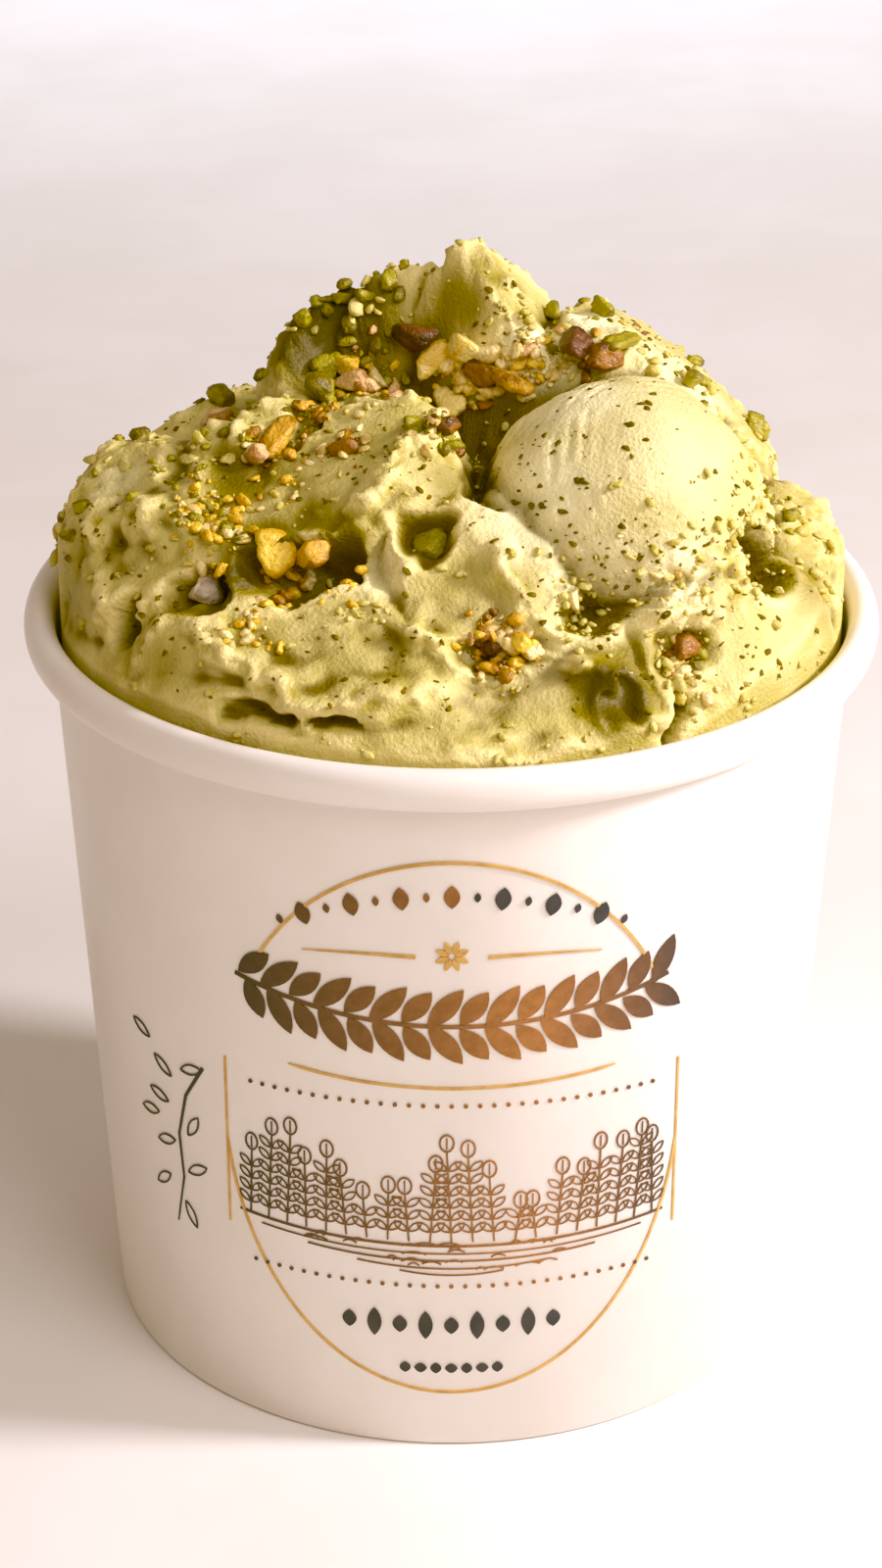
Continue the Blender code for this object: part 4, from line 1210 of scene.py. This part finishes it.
# A row of beads under the oval's top, its left half brown, two rows of leaves near its foot, and a sprig.
for index in range(15):
    across = -19.6 + 2.8 * index
    height = 75.6 - 5 * (across / 19.6) ** 2
    long = 2.9 if index % 2 else 1.2
    bead = leaf((across, height), long, long * 0.62, 90 - 26 * across / 19.6)
    tile(black_print if index > 7 else brown_print, bead)
for index in range(9):
    tile(black_print, leaf((-12 + 3 * index, 17.6), 4 if index % 2 else 2.4, 1.7, 90))
for index in range(7):
    tile(black_print, leaf((-5.4 + 1.8 * index, 11.4), 1.5, 1.3, 0 if index % 2 else 90))
sprig = [(-31, 47), (-34, 42), (-35.5, 36), (-35, 30), (-36.5, 23)]
strip(black_print, sprig, [0.5, 0.4, 0.35, 0.3, 0.2])
LEAVES = ((-33, 46, 20), (-38, 44.5, 150), (-39, 40, 170), (-33, 38, 60), (-38, 34, 200), (-32.6, 32, 30),
          (-39, 28, 220), (-34, 25, 300), (-42, 48, 160), (-41, 37, 190))
for across, height, lean in LEAVES:
    outline = leaf((across, height), 3.6, 1.3, lean)
    strip(black_print, outline + outline[:1], 0.22)

# %% Print the badge
# Name, marks, the ink's two tones, and how rough it dries.
INKS = (
    ("print_gold", gold_print, (0.70, 0.42, 0.13), (0.55, 0.30, 0.07), 0.35),
    ("print_black", black_print, (0.03, 0.026, 0.042), (0.05, 0.042, 0.06), 0.5),
)
for name, bm, first, second, rough in INKS:
    ink, tree, shader = new_material(name, Roughness=rough)
    tree.links.new(mottled(tree, 2.5 * MM, first, second), shader.inputs["Base Color"])
    wall_piece(bm, name, ink)

brown_ink, tree, shader = new_material("print_brown", Roughness=0.42)
where = add_node(tree, "ShaderNodeTexCoord")
across = add_node(tree, "ShaderNodeSeparateXYZ", {0: where.outputs["Object"]}).outputs["X"]
left = ramped(tree, across, -24 * MM, 6 * MM)
right = ramped(tree, across, 26 * MM, 10 * MM)
copper = add_node(tree, "ShaderNodeMath", {0: left, 1: right}, operation="MULTIPLY").outputs[0]
tone = mixed(tree, copper, (0.05, 0.022, 0.028, 1), (0.40, 0.16, 0.05, 1))
wear = mottled(tree, 1.5 * MM, (1, 1, 1), (0.8, 0.75, 0.7))
tree.links.new(mixed(tree, 1.0, tone, wear, "MULTIPLY"), shader.inputs["Base Color"])
wall_piece(brown_print, "print_brown", brown_ink)
